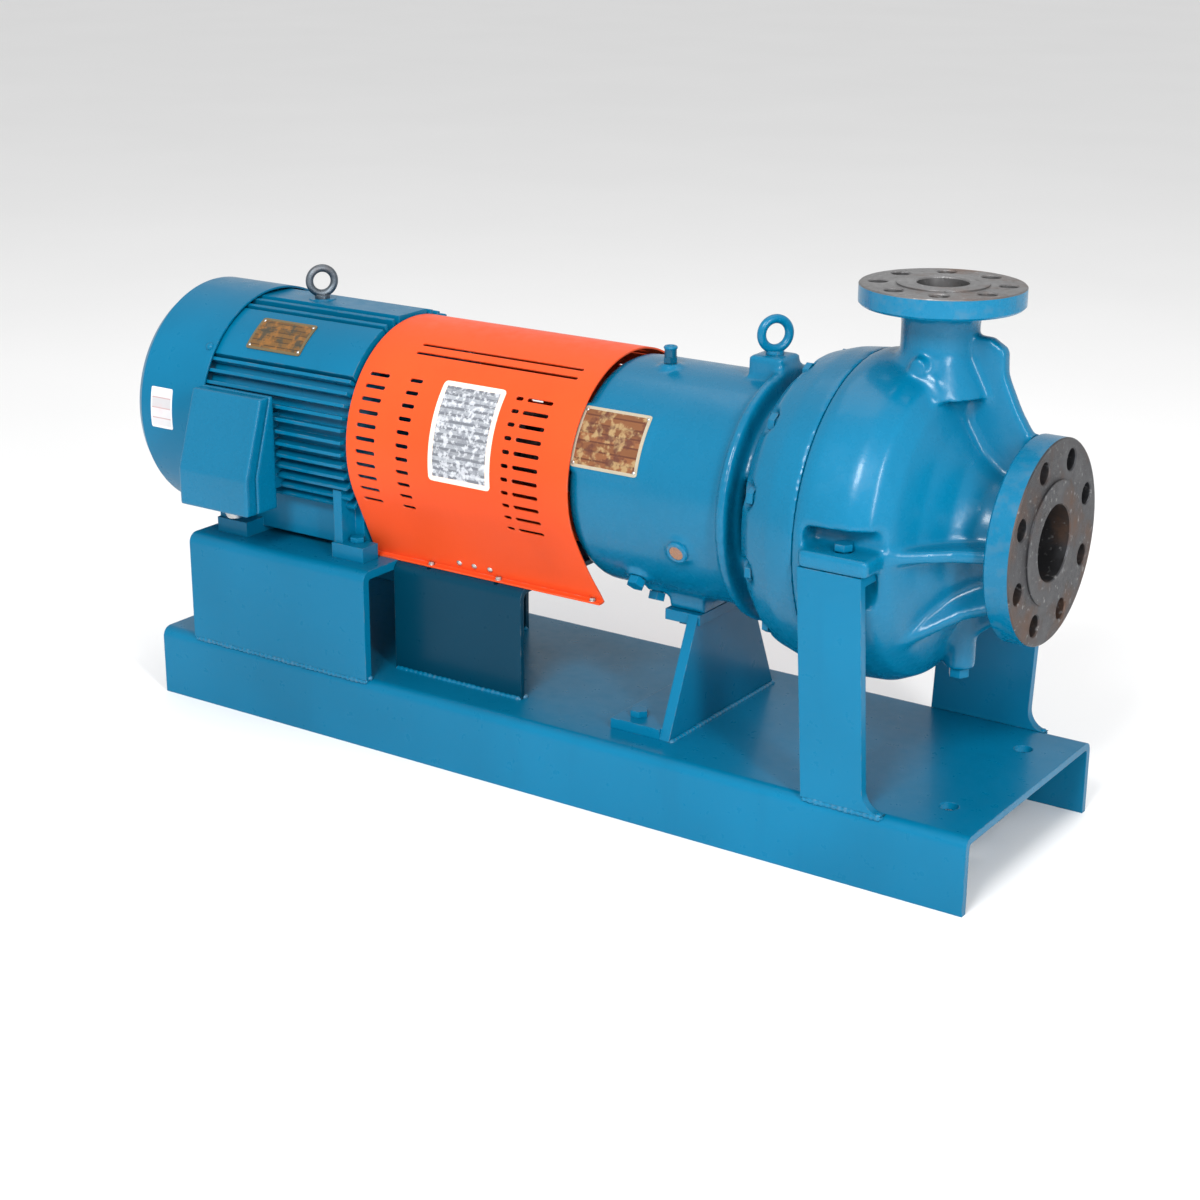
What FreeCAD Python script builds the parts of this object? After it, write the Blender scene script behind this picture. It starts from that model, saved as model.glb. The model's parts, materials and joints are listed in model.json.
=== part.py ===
import FreeCAD, Part
import os
import re
import Sketcher

# A horizontal end-suction centrifugal pump on a bent-plate base, driven through a guarded
# elastomeric coupling by a foot-mounted fan-cooled motor. Lengths are in millimetres.
# X runs along the shaft towards the suction flange, Y runs across the base and Z is up.
# The origin is on the floor, under the middle of the whole set.
# Angles about the shaft start at +Y and turn towards +Z, so 90 is up and 180 is the near side.

SIZES = {
    "Base and supports": {
        "base_left": -517.5, "base_length": 1074, "base_width": 308, "base_height": 83,
        "base_plate": 8, "bend_radius": 12, "anchor_left": -491, "anchor_right": 507,
        "anchor_spacing": 180, "anchor_hole_radius": 10,
        "pedestal_left": -464.5, "pedestal_length": 268, "pedestal_plate": 10,
        "support_left": -196, "support_length": 180, "support_width": 200,
        "support_top": 212.6, "support_plate": 6, "far_web_end": -150,
        "leg_left": 372, "front_leg_width": 70, "rear_leg_width": 114, "leg_plate": 10,
        "leg_spread": 178, "leg_top": 334, "leg_ledge": 34, "leg_flare": 22,
        "lug_bolt_place": 410, "lug_bolt_spread": 155,
        "web_place": 175, "foot_plate": 12, "foot_width": 222, "toe_end": 112,
        "toe_bolt_place": 134, "toe_bolt_spread": 88, "foot_head_top": 211,
        "foot_head_width": 110, "foot_head_length": 44, "head_bolt_spread": 35,
    },
    "Shaft line": {
        "shaft_high": 346, "suction_face": 561.5, "discharge_face": 590,
        "discharge_place": 426.5,
    },
    "Motor": {
        "frame_left": -455, "frame_right": -240, "frame_wall": 122, "fin_tip": 136,
        "stator_radius": 110, "stator_left": -430, "stator_right": -290, "stator_bore": 72,
        "motor_foot_high": 212.6, "motor_hole_left": -419.4, "motor_hole_right": -241.6,
        "motor_hole_spread": 107.95, "motor_foot_thick": 18, "bell_left": -172,
        "bell_bolt_circle": 116, "motor_bearing_radius": 40, "motor_bearing_bore": 20,
        "motor_bearing_width": 18, "motor_shaft_radius": 17.46, "motor_shaft_end": -67,
        "cover_radius": 140, "cover_left": -561.5, "cover_lip": -448, "cover_sheet": 2.5,
        "conduit_left": -440, "conduit_length": 105, "conduit_inside": 138,
        "conduit_joint": 172, "conduit_reach": 190, "conduit_low": 262, "conduit_high": 395,
        "conduit_slope_low": 305, "motor_eye_place": -376.5,
    },
    "Coupling and guard": {
        "guard_left": -235, "guard_length": 303, "guard_radius": 131, "guard_sheet": 2,
        "guard_tilt": 24.9, "guard_lip": 17, "guard_bolt_spread": 91.5, "hub_radius": 42, "spider_left": -61,
        "spider_width": 22, "hub_length": 54, "pump_shaft_end": -33,
    },
    "Bearing frame": {
        "barrel_left": 52, "barrel_radius": 125, "barrel_right": 264, "neck_radius": 112,
        "adapter_left": 286, "parting_line": 359.5, "parting_radius": 168,
        "bearing_radius": 55, "journal_radius": 25, "thrust_left": 70, "thrust_width": 44,
        "radial_left": 212, "radial_width": 27, "casing_bolt_circle": 149,
        "pocket_floor": 306, "frame_eye_place": 240, "eye_boss_top": 148,
        "breather_place": 126, "breather_side": -22, "sight_place": 200, "plug_place": 131,
    },
    "Wet end": {
        "spigot_radius": 138, "chamber_radius": 132, "chamber_right": 429.5,
        "impeller_left": 386, "impeller_radius": 120, "eye_radius": 46, "sleeve_radius": 26,
        "seal_bore": 38, "suction_bore": 39, "suction_flange": 104.8, "suction_thick": 28.6,
        "suction_circle": 84.15, "suction_hole_radius": 11.1, "suction_raised": 63.5,
        "discharge_bore": 26, "discharge_neck": 39, "discharge_flange": 82.55,
        "discharge_thick": 22.3, "discharge_circle": 63.5, "discharge_hole_radius": 9.5,
        "discharge_raised": 46.05, "raised_face": 1.6, "lug_thick": 18, "lug_reach": 180,
        "lug_pocket": 143, "pocket_high": 20, "leg_room": 38,
        "drain_place": 468,
    },
}

BELL_BOLTS = (45, 135, 225, 315)
FLANGE_HOLES = [22.5 + 45 * i for i in range(8)]
CASING_BOLTS = [15 + 30 * i for i in range(12)]
SIDES = ("-", "")
SPIN_AXIS = FreeCAD.Vector(1, 0, 0)
TURN = {
    "+X": FreeCAD.Rotation(FreeCAD.Vector(0, 1, 0), 90),
    "-X": FreeCAD.Rotation(FreeCAD.Vector(0, 1, 0), -90),
    "+Y": FreeCAD.Rotation(SPIN_AXIS, -90),
    "-Y": FreeCAD.Rotation(SPIN_AXIS, 90),
    "+Z": FreeCAD.Rotation(),
    "-Z": FreeCAD.Rotation(SPIN_AXIS, 180),
}
WORD = re.compile(r"[a-z][a-z_]*")

doc = FreeCAD.newDocument("CentrifugalPump")
sheet = doc.addObject("Spreadsheet::Sheet", "Sizes")
ALIASES = set()
NODES = []


# ---- The sheet and small helpers ---------------------------------------------------------

def fill_sheet():
    row = 0
    for section, cells in SIZES.items():
        row += 1
        sheet.set(f"A{row}", section)
        for alias, number in cells.items():
            row += 1
            sheet.set(f"A{row}", alias.replace("_", " "))
            sheet.set(f"B{row}", str(number))
            sheet.setAlias(f"B{row}", alias)
            ALIASES.add(alias)
    doc.recompute()


def bound(text):
    """The same expression with each alias written as a reference to the sheet."""
    return WORD.sub(lambda m: "Sizes." + m.group() if m.group() in ALIASES else m.group(),
                    str(text))


def value(text):
    """The number that an expression has now."""
    return float(sheet.evalExpression(bound(text)))


def place(thing, x=0, y=0, z=0, turn="+Z"):
    """Put an object at expressions x, y and z, with its own Z axis along turn."""
    rotation = TURN[turn] if isinstance(turn, str) else turn
    thing.Placement = FreeCAD.Placement(FreeCAD.Vector(), rotation)
    for axis, text in (("x", x), ("y", y), ("z", z)):
        thing.setExpression(f"Placement.Base.{axis}", bound(text))
    return thing


def outward(angle):
    """The rotation that points an object's Z axis away from the shaft at an angle."""
    return FreeCAD.Rotation(SPIN_AXIS, angle - 90)


def polar(circle, angle):
    """The y and z of a point at an angle on a circle about the shaft axis."""
    return f"({circle}) * cos({angle})", f"shaft_high + ({circle}) * sin({angle})"


def primitive(kind, sizes, x, y, z, turn):
    thing = doc.addObject(f"Part::{kind}", kind)
    for name, text in sizes.items():
        thing.setExpression(name, bound(text))
    return place(thing, x, y, z, turn)


def rod(radius, length, x=0, y=0, z=0, turn="+Z"):
    return primitive("Cylinder", {"Radius": radius, "Height": length}, x, y, z, turn)


def cone(radius, far_radius, length, x=0, y=0, z=0, turn="+Z"):
    sizes = {"Radius1": radius, "Radius2": far_radius, "Height": length}
    return primitive("Cone", sizes, x, y, z, turn)


def hexagon(radius, length, x=0, y=0, z=0, turn="+Z"):
    return primitive("Prism", {"Circumradius": radius, "Height": length}, x, y, z, turn)


def torus(radius, wire, x=0, y=0, z=0, turn="+Z"):
    return primitive("Torus", {"Radius1": radius, "Radius2": wire}, x, y, z, turn)


def ball(radius, x=0, y=0, z=0):
    return primitive("Sphere", {"Radius": radius}, x, y, z, "+Z")


def block(length, width, height, x=0, y=0, z=0, turn="+Z"):
    """A box whose low corner is at x, y, z."""
    sizes = {"Length": length, "Width": width, "Height": height}
    return primitive("Box", sizes, x, y, z, turn)


def spoke(length, width, inner, outer, x, angle):
    """A box that stands out from the shaft axis at an angle, between two radii."""
    y = f"({inner}) * cos({angle}) - ({width}) / 2 * sin({angle})"
    z = f"shaft_high + ({inner}) * sin({angle}) + ({width}) / 2 * cos({angle})"
    return block(length, width, f"({outer}) - ({inner})", x, y, z, outward(angle))


def fused(*things):
    if len(things) == 1:
        return things[0]
    thing = doc.addObject("Part::MultiFuse", "Joined")
    thing.Shapes = list(things)
    return thing


def less(base, *cutters):
    thing = doc.addObject("Part::Cut", "Cut")
    thing.Base = base
    thing.Tool = fused(*cutters)
    return thing


def shared(one, other):
    thing = doc.addObject("Part::Common", "Shared")
    thing.Base = one
    thing.Tool = other
    return thing


def group(*things):
    thing = doc.addObject("Part::Compound", "Group")
    thing.Links = list(things)
    return thing


def node(label, thing):
    """Name a finished sub-part."""
    thing.Label = label
    NODES.append(thing)


def outline(body, plane, points):
    """A closed sketch of straight lines, each corner bound to the sheet."""
    sketch = body.newObject("Sketcher::SketchObject", "Outline")
    origin = [item for item in body.Origin.OriginFeatures if item.Role == plane][0]
    sketch.AttachmentSupport = [(origin, "")]
    sketch.MapMode = "FlatFace"
    spots = [FreeCAD.Vector(value(x), value(y), 0) for x, y in points]
    count = len(spots)
    for i in range(count):
        sketch.addGeometry(Part.LineSegment(spots[i], spots[(i + 1) % count]), False)
    for i in range(count):
        sketch.addConstraint(Sketcher.Constraint("Coincident", i, 2, (i + 1) % count, 1))
    for i, (x, y) in enumerate(points):
        for kind, axis, text, now in (("DistanceX", -2, x, spots[i].x),
                                      ("DistanceY", -1, y, spots[i].y)):
            if abs(now) < 1e-9:
                sketch.addConstraint(Sketcher.Constraint("PointOnObject", i, 1, axis))
                continue
            number = sketch.addConstraint(Sketcher.Constraint(kind, -1, 1, i, 1, now))
            sketch.setExpression(f"Constraints[{number}]", bound(text))
    return sketch


def turned(*points):
    """A body turned about the shaft axis from (x, radius) corners."""
    body = doc.addObject("PartDesign::Body", "Turned")
    feature = body.newObject("PartDesign::Revolution", "Revolution")
    feature.Profile = outline(body, "XZ_Plane", points)
    feature.ReferenceAxis = (feature.Profile[0], ["H_Axis"])
    feature.Angle = 360
    body.Tip = feature
    return place(body, z="shaft_high")


def pad(plane, depth, points, midplane=False):
    body = doc.addObject("PartDesign::Body", "Padded")
    feature = body.newObject("PartDesign::Pad", "Pad")
    feature.Profile = outline(body, plane + "_Plane", points)
    feature.Midplane = midplane
    feature.setExpression("Length", bound(depth))
    body.Tip = feature
    return body


def slab(depth, start, *points):
    """An outline of (y, z) corners, padded along +X from start."""
    return place(pad("YZ", depth, points), x=start)


def rib(thick, angle, *points):
    """A flat rib through the shaft axis at an angle, from (x, radius) corners."""
    return place(pad("XZ", thick, points, True), z="shaft_high", turn=outward(angle))


def patch(x, length, inner, outer, angle, width):
    """A curved plate about the shaft axis, square to the ray at an angle."""
    curve = turned((x, inner), (x, outer), (f"({x}) + ({length})", outer),
                   (f"({x}) + ({length})", inner))
    return shared(curve, spoke(length, width, f"({inner}) / 2", f"({outer}) + 20", x, angle))


def rounded(body, radius, wanted):
    """Round the edges of a body for which wanted(middle of the edge) is true."""
    doc.recompute()
    base = body.Tip
    names = [f"Edge{i + 1}" for i, edge in enumerate(base.Shape.Edges)
             if wanted(edge.CenterOfMass)]
    feature = body.newObject("PartDesign::Fillet", "Bend")
    feature.Base = (base, names)
    feature.setExpression("Radius", bound(radius))
    body.Tip = feature
    return body


def channel(left, length, width, low, high, plate):
    """An inverted U bent from plate: a deck with a skirt down each long side."""
    side = f"({width}) / 2"
    wall = f"({width}) / 2 - ({plate})"
    deck = f"({high}) - ({plate})"
    body = slab(length, left, (f"-{side}", low), (f"-{side}", high), (side, high), (side, low),
                (wall, low), (wall, deck), (f"-({wall})", deck), (f"-({wall})", low))

    def at_bend(middle, inset):
        across = abs(abs(middle.y) - value(side) + inset)
        return across < 0.01 and abs(middle.z - value(high) + inset) < 0.01

    rounded(body, "bend_radius", lambda middle: at_bend(middle, 0))
    return rounded(body, f"bend_radius - ({plate}) + 1", lambda middle: at_bend(middle, value(plate)))


def hex_bolt(radius, length, head, x, y, z, turn, back):
    """A bolt whose head sits on the point: its shank runs along turn, its head along back."""
    return fused(rod(radius, length, x, y, z, turn), hexagon(head, f"({head}) * 0.7", x, y, z, back))


def eyebolt(x, seat, centre, ring, wire):
    """A lifting eye on the shaft's centre plane, screwed in at seat with its ring turned a little."""
    ring_turn = FreeCAD.Rotation(FreeCAD.Vector(0, 0, 1), -35) * TURN["+X"]
    return fused(torus(ring, wire, x, 0, centre, ring_turn),
                 rod(f"({wire}) * 2", 4, x, 0, seat),
                 rod(f"({wire}) - 0.6", f"({centre}) - ({seat}) - ({ring})", x, 0, seat),
                 rod(wire, 16, x, 0, seat, "-Z"))


def bearing(x, width, outer, ring, bore, inner_ring, rows, balls):
    """A ball bearing's outer ring, and its inner ring with the balls, a running gap apart."""
    right = f"({x}) + ({width})"
    outside = turned((x, ring), (x, outer), (right, outer), (right, ring))
    inside = turned((x, bore), (x, inner_ring), (right, inner_ring), (right, bore))
    circle = f"(({ring}) + ({inner_ring})) / 2"
    radius = f"(({ring}) - ({inner_ring})) / 2 - 0.3"
    pieces = [inside]
    for row in rows:
        for i in range(balls):
            pieces.append(ball(radius, f"({x}) + ({row})", *polar(circle, 360 * i / balls)))
    return outside, pieces


# ---- Base, pedestals and legs --------------------------------------------------------------

def build_base():
    plate = channel("base_left", "base_length", "base_width", 0, "base_height", "base_plate")
    holes = [rod("anchor_hole_radius", 40, x, f"{side}anchor_spacing / 2", "base_height - 20")
             for x in ("anchor_left", "anchor_right") for side in SIDES]
    holes += [rod(6.5, 40, "toe_bolt_place", f"{side}toe_bolt_spread", "base_height - 20")
              for side in SIDES]
    node("baseplate", less(plate, *holes))


def build_pedestal():
    plate = channel("pedestal_left", "pedestal_length", "base_width", "base_height",
                    "motor_foot_high", "pedestal_plate")
    holes = [rod(5.2, 30, x, f"{side}motor_hole_spread", "motor_foot_high - 20")
             for x in ("motor_hole_left", "motor_hole_right") for side in SIDES]
    node("motor_pedestal", less(plate, *holes))


def build_guard_support():
    plate = channel("support_left", "support_length", "support_width", "base_height",
                    "support_top", "support_plate")
    holes = [rod(3.2, 30, x, f"{side}guard_bolt_spread", "support_top - 15")
             for x in (-150, -55) for side in SIDES]
    far_gap = block("support_left + support_length + 1 - far_web_end", 30,
                    "support_top - base_height - bend_radius", "far_web_end",
                    "support_width / 2 - 20", "base_height")
    node("guard_support", less(plate, far_gap, *holes))


def build_leg(label, side, width):
    """A plate that leans out from the deck's edge to a ledge under the casing's lug."""
    foot = f"{side}(base_width / 2)"
    inner_foot = f"{side}(base_width / 2 - leg_plate)"
    inner_top = f"{side}(leg_spread - leg_plate)"
    ledge = f"{side}(leg_spread - leg_ledge)"
    plate = slab(f"{width} + leg_flare", "leg_left",
                 (foot, "base_height"), (f"{side}leg_spread", "leg_top"), (ledge, "leg_top"),
                 (ledge, "leg_top - leg_plate"), (inner_top, "leg_top - leg_plate"),
                 (inner_foot, "base_height"))
    right = f"leg_left + {width}"
    above = block("leg_flare + 10", 500, 300, right, -250, "base_height + leg_flare")
    curve = rod("leg_flare", 500, f"{right} + leg_flare", -250, "base_height + leg_flare", "+Y")
    hole = rod(7.5, 30, "lug_bolt_place", f"{side}lug_bolt_spread", "leg_top - 20")
    node(label, less(plate, above, curve, hole))


def build_frame_foot():
    """The bracket under the bearing frame: toe on the deck, web, and head under the barrel."""
    half = "foot_width / 2"
    half_head = "foot_head_width / 2"
    head_low = "foot_head_top - foot_plate"
    web = slab("foot_plate", "web_place", (f"-{half}", "base_height"), (half, "base_height"),
               (half_head, "foot_head_top"), (f"-{half_head}", "foot_head_top"))
    toe = block("web_place - toe_end", "foot_width", "foot_plate", "toe_end", f"-{half}",
                "base_height")
    head = block("foot_head_length", "foot_head_width", "foot_plate", "web_place - 30",
                 f"-{half_head}", head_low)
    holes = [rod(6.5, 40, "toe_bolt_place", f"{side}toe_bolt_spread", "base_height - 5")
             for side in SIDES]
    holes += [rod(5.2, 40, "web_place - 15", f"{side}head_bolt_spread", "foot_head_top - 20")
              for side in SIDES]
    node("frame_foot", less(fused(web, toe, head), *holes))


def build_hold_down_bolts():
    bolts = []
    for side in SIDES:
        y = f"{side}toe_bolt_spread"
        bolts.append(fused(hex_bolt(6, 35, 10.5, "toe_bolt_place", y, "base_height + foot_plate",
                                    "-Z", "+Z"),
                           hexagon(10.5, 8, "toe_bolt_place", y, "base_height - base_plate", "-Z")))
        bolts.append(hex_bolt(5, 26, 9, "web_place - 15", f"{side}head_bolt_spread",
                              "foot_head_top - foot_plate", "+Z", "-Z"))
    node("frame_foot_bolts", group(*bolts))
    lug_top = "leg_top + lug_thick"
    bolts = []
    for side in SIDES:
        y = f"{side}lug_bolt_spread"
        bolts.append(fused(hex_bolt(6, 40, 10, "lug_bolt_place", y, lug_top, "-Z", "+Z"),
                           hexagon(10, 9, "lug_bolt_place", y, "leg_top - leg_plate", "-Z")))
    node("casing_foot_bolts", group(*bolts))
    bolts = []
    for x in ("motor_hole_left", "motor_hole_right"):
        for side in SIDES:
            y = f"{side}motor_hole_spread"
            bolts.append(fused(
                hex_bolt(5, 42, 9, x, y, "motor_foot_high + motor_foot_thick", "-Z", "+Z"),
                hexagon(9, 7, x, y, "motor_foot_high - pedestal_plate", "-Z")))
    node("motor_foot_bolts", group(*bolts))


# ---- Motor -----------------------------------------------------------------------------------

def build_motor_frame():
    length = "frame_right - frame_left"
    shell = turned(("frame_left", "stator_radius"), ("frame_left", "frame_wall"),
                   ("frame_right", "frame_wall"), ("frame_right", "stator_radius"))
    smooth = ((78, 102), (112, 146), (215, 325))
    fins = [spoke(length, 4, "frame_wall - 3", "fin_tip", "frame_left", angle)
            for angle in [3 + 6 * i for i in range(60)]
            if not any(low < angle < high for low, high in smooth)]
    plate_seat = patch("frame_left", length, "frame_wall - 3", "fin_tip - 1", 129, 70)
    crown = spoke(length, 50, "frame_wall - 5", "fin_tip - 2", "frame_left", 90)
    boss = rod(16, 21, "motor_eye_place", 0, "shaft_high + frame_wall - 8")
    feet = []
    for x, right in (("motor_hole_left", 46), ("motor_hole_right", 24)):
        for low, web_low, wall_low in ((-127, -122, -98), (77, 76, 84)):
            feet.append(block(right, 50, "motor_foot_thick", f"({x}) - 23", low, "motor_foot_high"))
            feet.append(block(12, 46, 80, f"({x}) - 23", web_low, "motor_foot_high"))
            feet.append(block(right, 14, 70, f"({x}) - 23", wall_low, "motor_foot_high"))
    feet += [block(46, 27, "motor_foot_thick", "motor_hole_right - 23", low, "motor_foot_high")
             for low in (-127, 100)]
    rails = [block("frame_right - cover_lip - 2", 14, 62, "cover_lip + 2", low,
                   "motor_foot_high + 8") for low in (-98, 84)]
    seat = block("conduit_length - 20", "conduit_inside - 100", 90, "conduit_left + 10",
                 "-conduit_inside", "conduit_low + 20")
    solid = fused(shell, *fins, plate_seat, crown, boss, *feet, *rails, seat)
    holes = [rod(5.2, 40, x, f"{side}motor_hole_spread", "motor_foot_high - 10")
             for x in ("motor_hole_left", "motor_hole_right") for side in SIDES]
    holes += [rod(4, 14, "frame_right - 12", *polar("bell_bolt_circle", angle), "+X")
              for angle in BELL_BOLTS]
    holes.append(rod("stator_radius", 400, "frame_left - 50", 0, "shaft_high", "+X"))
    holes.append(rod(4.5, 20, "motor_eye_place", 0, "shaft_high + frame_wall - 3"))
    node("motor_frame", less(solid, *holes))


def build_stator():
    node("stator_core", turned(
        ("stator_left", "stator_bore"), ("stator_left", "stator_radius"),
        ("stator_right", "stator_radius"), ("stator_right", "stator_bore")))
    coils = []
    for start in ("stator_left - 20", "stator_right"):
        coils.append(turned((start, "stator_bore + 6"), (start, "stator_radius - 9"),
                            (f"{start} + 20", "stator_radius - 9"),
                            (f"{start} + 20", "stator_bore + 6")))
    node("stator_windings", group(*coils))


def build_end_bells():
    inner = "bell_left - 8"
    casting = turned(
        ("frame_right", "stator_radius - 6"), ("frame_right", "frame_wall"),
        ("frame_right + 13", "frame_wall"), ("bell_left - 24", 96), ("bell_left - 12", 54),
        ("bell_left", 46), ("bell_left", "motor_shaft_radius + 6"),
        (inner, "motor_shaft_radius + 6"), (inner, "motor_bearing_radius"),
        (f"{inner} - motor_bearing_width", "motor_bearing_radius"),
        (f"{inner} - motor_bearing_width", 52), ("bell_left - 34", 88))
    holes = [rod(4, 40, "frame_right - 10", *polar("bell_bolt_circle", angle), "+X")
             for angle in BELL_BOLTS]
    holes += [rod(9, 40, "frame_right + 13", *polar("bell_bolt_circle", angle), "+X")
              for angle in BELL_BOLTS]
    node("motor_front_bell", less(casting, *holes))
    node("motor_bell_bolts", group(*[
        hex_bolt(4, 23, 7.5, "frame_right + 13", *polar("bell_bolt_circle", angle), "-X", "+X")
        for angle in BELL_BOLTS]))
    seat = "frame_left - 18"
    node("motor_rear_bell", turned(
        ("frame_left - 8", "frame_wall"), ("frame_left", "frame_wall"),
        ("frame_left", "stator_radius - 6"), ("frame_left - 2", 60), (f"{seat} + 18", 50),
        (f"{seat} + 18", "motor_bearing_radius"), (seat, "motor_bearing_radius"), (seat, 25),
        (f"{seat} - 6", 25), (f"{seat} - 6", 52)))


def build_motor_bearings():
    outers = []
    inners = []
    for x in ("bell_left - 8 - motor_bearing_width", "frame_left - 18"):
        outer, inner = bearing(x, "motor_bearing_width", "motor_bearing_radius", 34,
                               "motor_bearing_bore", 26, ("motor_bearing_width / 2",), 9)
        outers.append(outer)
        inners += inner
    node("motor_bearing_outer_rings", group(*outers))
    node("motor_bearing_inner_rings", group(*inners))


def build_motor_rotor():
    fan_end = "frame_left - 72"
    shaft = turned(
        (fan_end, 0), (fan_end, 14), ("frame_left - 26", 14),
        ("frame_left - 26", "motor_bearing_bore"), ("frame_left", "motor_bearing_bore"),
        ("frame_left", 26), ("stator_left", 26), ("stator_left", 30), ("stator_right", 30),
        ("stator_right", 26), ("bell_left - 8 - motor_bearing_width", 26),
        ("bell_left - 8 - motor_bearing_width", "motor_bearing_bore"),
        ("bell_left + 8", "motor_bearing_bore"), ("bell_left + 8", "motor_shaft_radius"),
        ("motor_shaft_end", "motor_shaft_radius"), ("motor_shaft_end", 0))
    key = ("motor_shaft_end - 43", 38, "motor_shaft_radius")
    node("motor_shaft", less(shaft, key_block(*key)))
    node("motor_key", key_block(*key))
    core = turned(("stator_left", 30), ("stator_left", "stator_bore - 0.7"),
                  ("stator_right", "stator_bore - 0.7"), ("stator_right", 30))
    rings = [turned((x, 42), (x, "stator_bore - 6"), (f"({x}) + 9", "stator_bore - 6"),
                    (f"({x}) + 9", 42)) for x in ("stator_left - 9", "stator_right")]
    node("motor_rotor_core", fused(core, *rings))
    hub_left = "frame_left - 68"
    disc = turned((hub_left, 14), (hub_left, 26), ("frame_left - 46", 30),
                  ("frame_left - 42", 112), ("frame_left - 38", 112), ("frame_left - 38", 14))
    blades = [spoke(26, 3, 24, 110, hub_left, 45 * i) for i in range(8)]
    node("motor_fan", less(fused(disc, *blades), rod(14, 60, "frame_left - 80", 0, "shaft_high",
                                                    "+X")))


def key_block(x, length, radius):
    """A square key, half sunk in the top of a shaft of this radius."""
    return block(length, 9.5, 9, x, -4.75, f"shaft_high + ({radius}) - 4.5")


def build_fan_cover():
    skin = "cover_radius - cover_sheet"
    back = "cover_left + cover_sheet"
    shell = turned(
        ("cover_left", 0), ("cover_left", 120), ("cover_left + 5", 132),
        ("cover_left + 16", "cover_radius"), ("cover_lip", "cover_radius"), ("cover_lip", skin),
        ("cover_left + 17", skin), (f"{back} + 4", "132 - cover_sheet"), (back, 119), (back, 0))
    holes = []
    for circle, count in ((26, 9), (44, 15), (62, 21), (80, 27), (98, 33)):
        holes += [rod(5.5, 12, "cover_left - 4", *polar(circle, 360 * i / count), "+X")
                  for i in range(count)]
    room = block("cover_lip - pedestal_left + 3", 200, 30, "pedestal_left - 2", -100,
                 "motor_foot_high - 29")
    node("fan_cover", less(shell, room, *holes))


def build_conduit_box():
    """The box on the near side: its cover meets it on a stepped, partly sloping joint."""
    def profile(inner, outer, low, high, top_inner, top_outer):
        return ((f"-({inner})", low), (f"-({outer})", low), (f"-({outer})", "conduit_slope_low"),
                (f"-({top_outer})", high), (f"-({top_inner})", high))

    joint = "conduit_joint"
    box = slab("conduit_length", "conduit_left",
               *profile("conduit_inside", joint, "conduit_low", "conduit_high",
                        "conduit_inside", "conduit_joint - 28"))
    room = slab("conduit_length - 12", "conduit_left + 6",
                *profile("conduit_inside + 6", "conduit_joint + 1", "conduit_low + 6",
                         "conduit_high - 6", "conduit_inside + 6", "conduit_joint - 24"))
    entry = rod(10, 12, "conduit_left + conduit_length / 2", "-155", "conduit_low - 3")
    node("conduit_box", less(box, room, entry))
    lid = slab("conduit_length", "conduit_left",
               (f"-{joint}", "conduit_low"), ("-conduit_reach", "conduit_low"),
               ("-conduit_reach", "conduit_slope_low"), ("-conduit_reach + 30", "conduit_high"),
               ("-conduit_joint + 28", "conduit_high"), (f"-{joint}", "conduit_slope_low"))
    hollow = slab("conduit_length - 12", "conduit_left + 6",
                  (f"-{joint} + 1", "conduit_low + 6"), ("-conduit_reach + 5", "conduit_low + 6"),
                  ("-conduit_reach + 5", "conduit_slope_low - 2"),
                  ("-conduit_reach + 33", "conduit_high - 7"),
                  ("-conduit_joint + 28", "conduit_high - 7"), (f"-{joint} + 1", "conduit_slope_low"))
    node("conduit_cover", less(lid, hollow))
    x = "conduit_left + conduit_length / 2"
    node("conduit_plug", fused(rod(10, 10, x, -155, "conduit_low - 2"),
                               hexagon(15, 8, x, -155, "conduit_low", "-Z"),
                               cone(12, 9, 7, x, -155, "conduit_low - 8", "-Z")))


def build_motor_trim():
    node("motor_nameplate", patch(-408, 82, "fin_tip - 1", "fin_tip + 1", 129, 44))
    node("motor_eyebolt", eyebolt("motor_eye_place", "shaft_high + frame_wall + 13",
                                  "shaft_high + 155.5", 15, 4.5))


# ---- Coupling and guard ------------------------------------------------------------------------

def build_coupling():
    spider_right = "spider_left + spider_width"
    bore = "motor_shaft_radius"

    def hub(left, right, jaw_left, first, key):
        barrel = turned((left, bore), (left, "hub_radius"), (right, "hub_radius"), (right, bore))
        jaws = [shared(turned((jaw_left, 26), (jaw_left, "hub_radius"),
                              (f"{jaw_left} + spider_width - 1", "hub_radius"),
                              (f"{jaw_left} + spider_width - 1", 26)),
                       spoke("spider_width - 1", 14, 10, 60, jaw_left, first + 120 * i))
                for i in range(3)]
        return less(fused(barrel, *jaws), key_block(*key))

    node("motor_hub", hub("spider_left - hub_length", "spider_left", "spider_left", 90,
                          ("motor_shaft_end - 43", 38, bore)))
    node("pump_hub", hub(spider_right, f"{spider_right} + hub_length", "spider_left + 1", 30,
                         ("pump_shaft_end + 5", 38, bore)))
    x = "spider_left + 1.5"
    middle = turned((x, 9), (x, 22), (f"{x} + spider_width - 3", 22),
                    (f"{x} + spider_width - 3", 9))
    lobes = [spoke("spider_width - 3", 11.5, 15, "hub_radius - 2", x, 60 * i) for i in range(6)]
    node("coupling_spider", fused(middle, *lobes))


def guard_solid(radius, bottom, start, length):
    """The inside or outside of the guard: a drum whose sides close in below it."""
    drum = rod(radius, length, start, 0, "shaft_high", "+X")
    touch_y = f"({radius}) * cos(guard_tilt)"
    touch_z = f"shaft_high - ({radius}) * sin(guard_tilt)"
    low_y = f"{touch_y} - tan(guard_tilt) * ({touch_z} - ({bottom}))"
    skirt = slab(length, start, (f"-({touch_y})", touch_z), (f"-({low_y})", bottom),
                 (low_y, bottom), (touch_y, touch_z))
    return fused(drum, skirt), low_y


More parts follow.
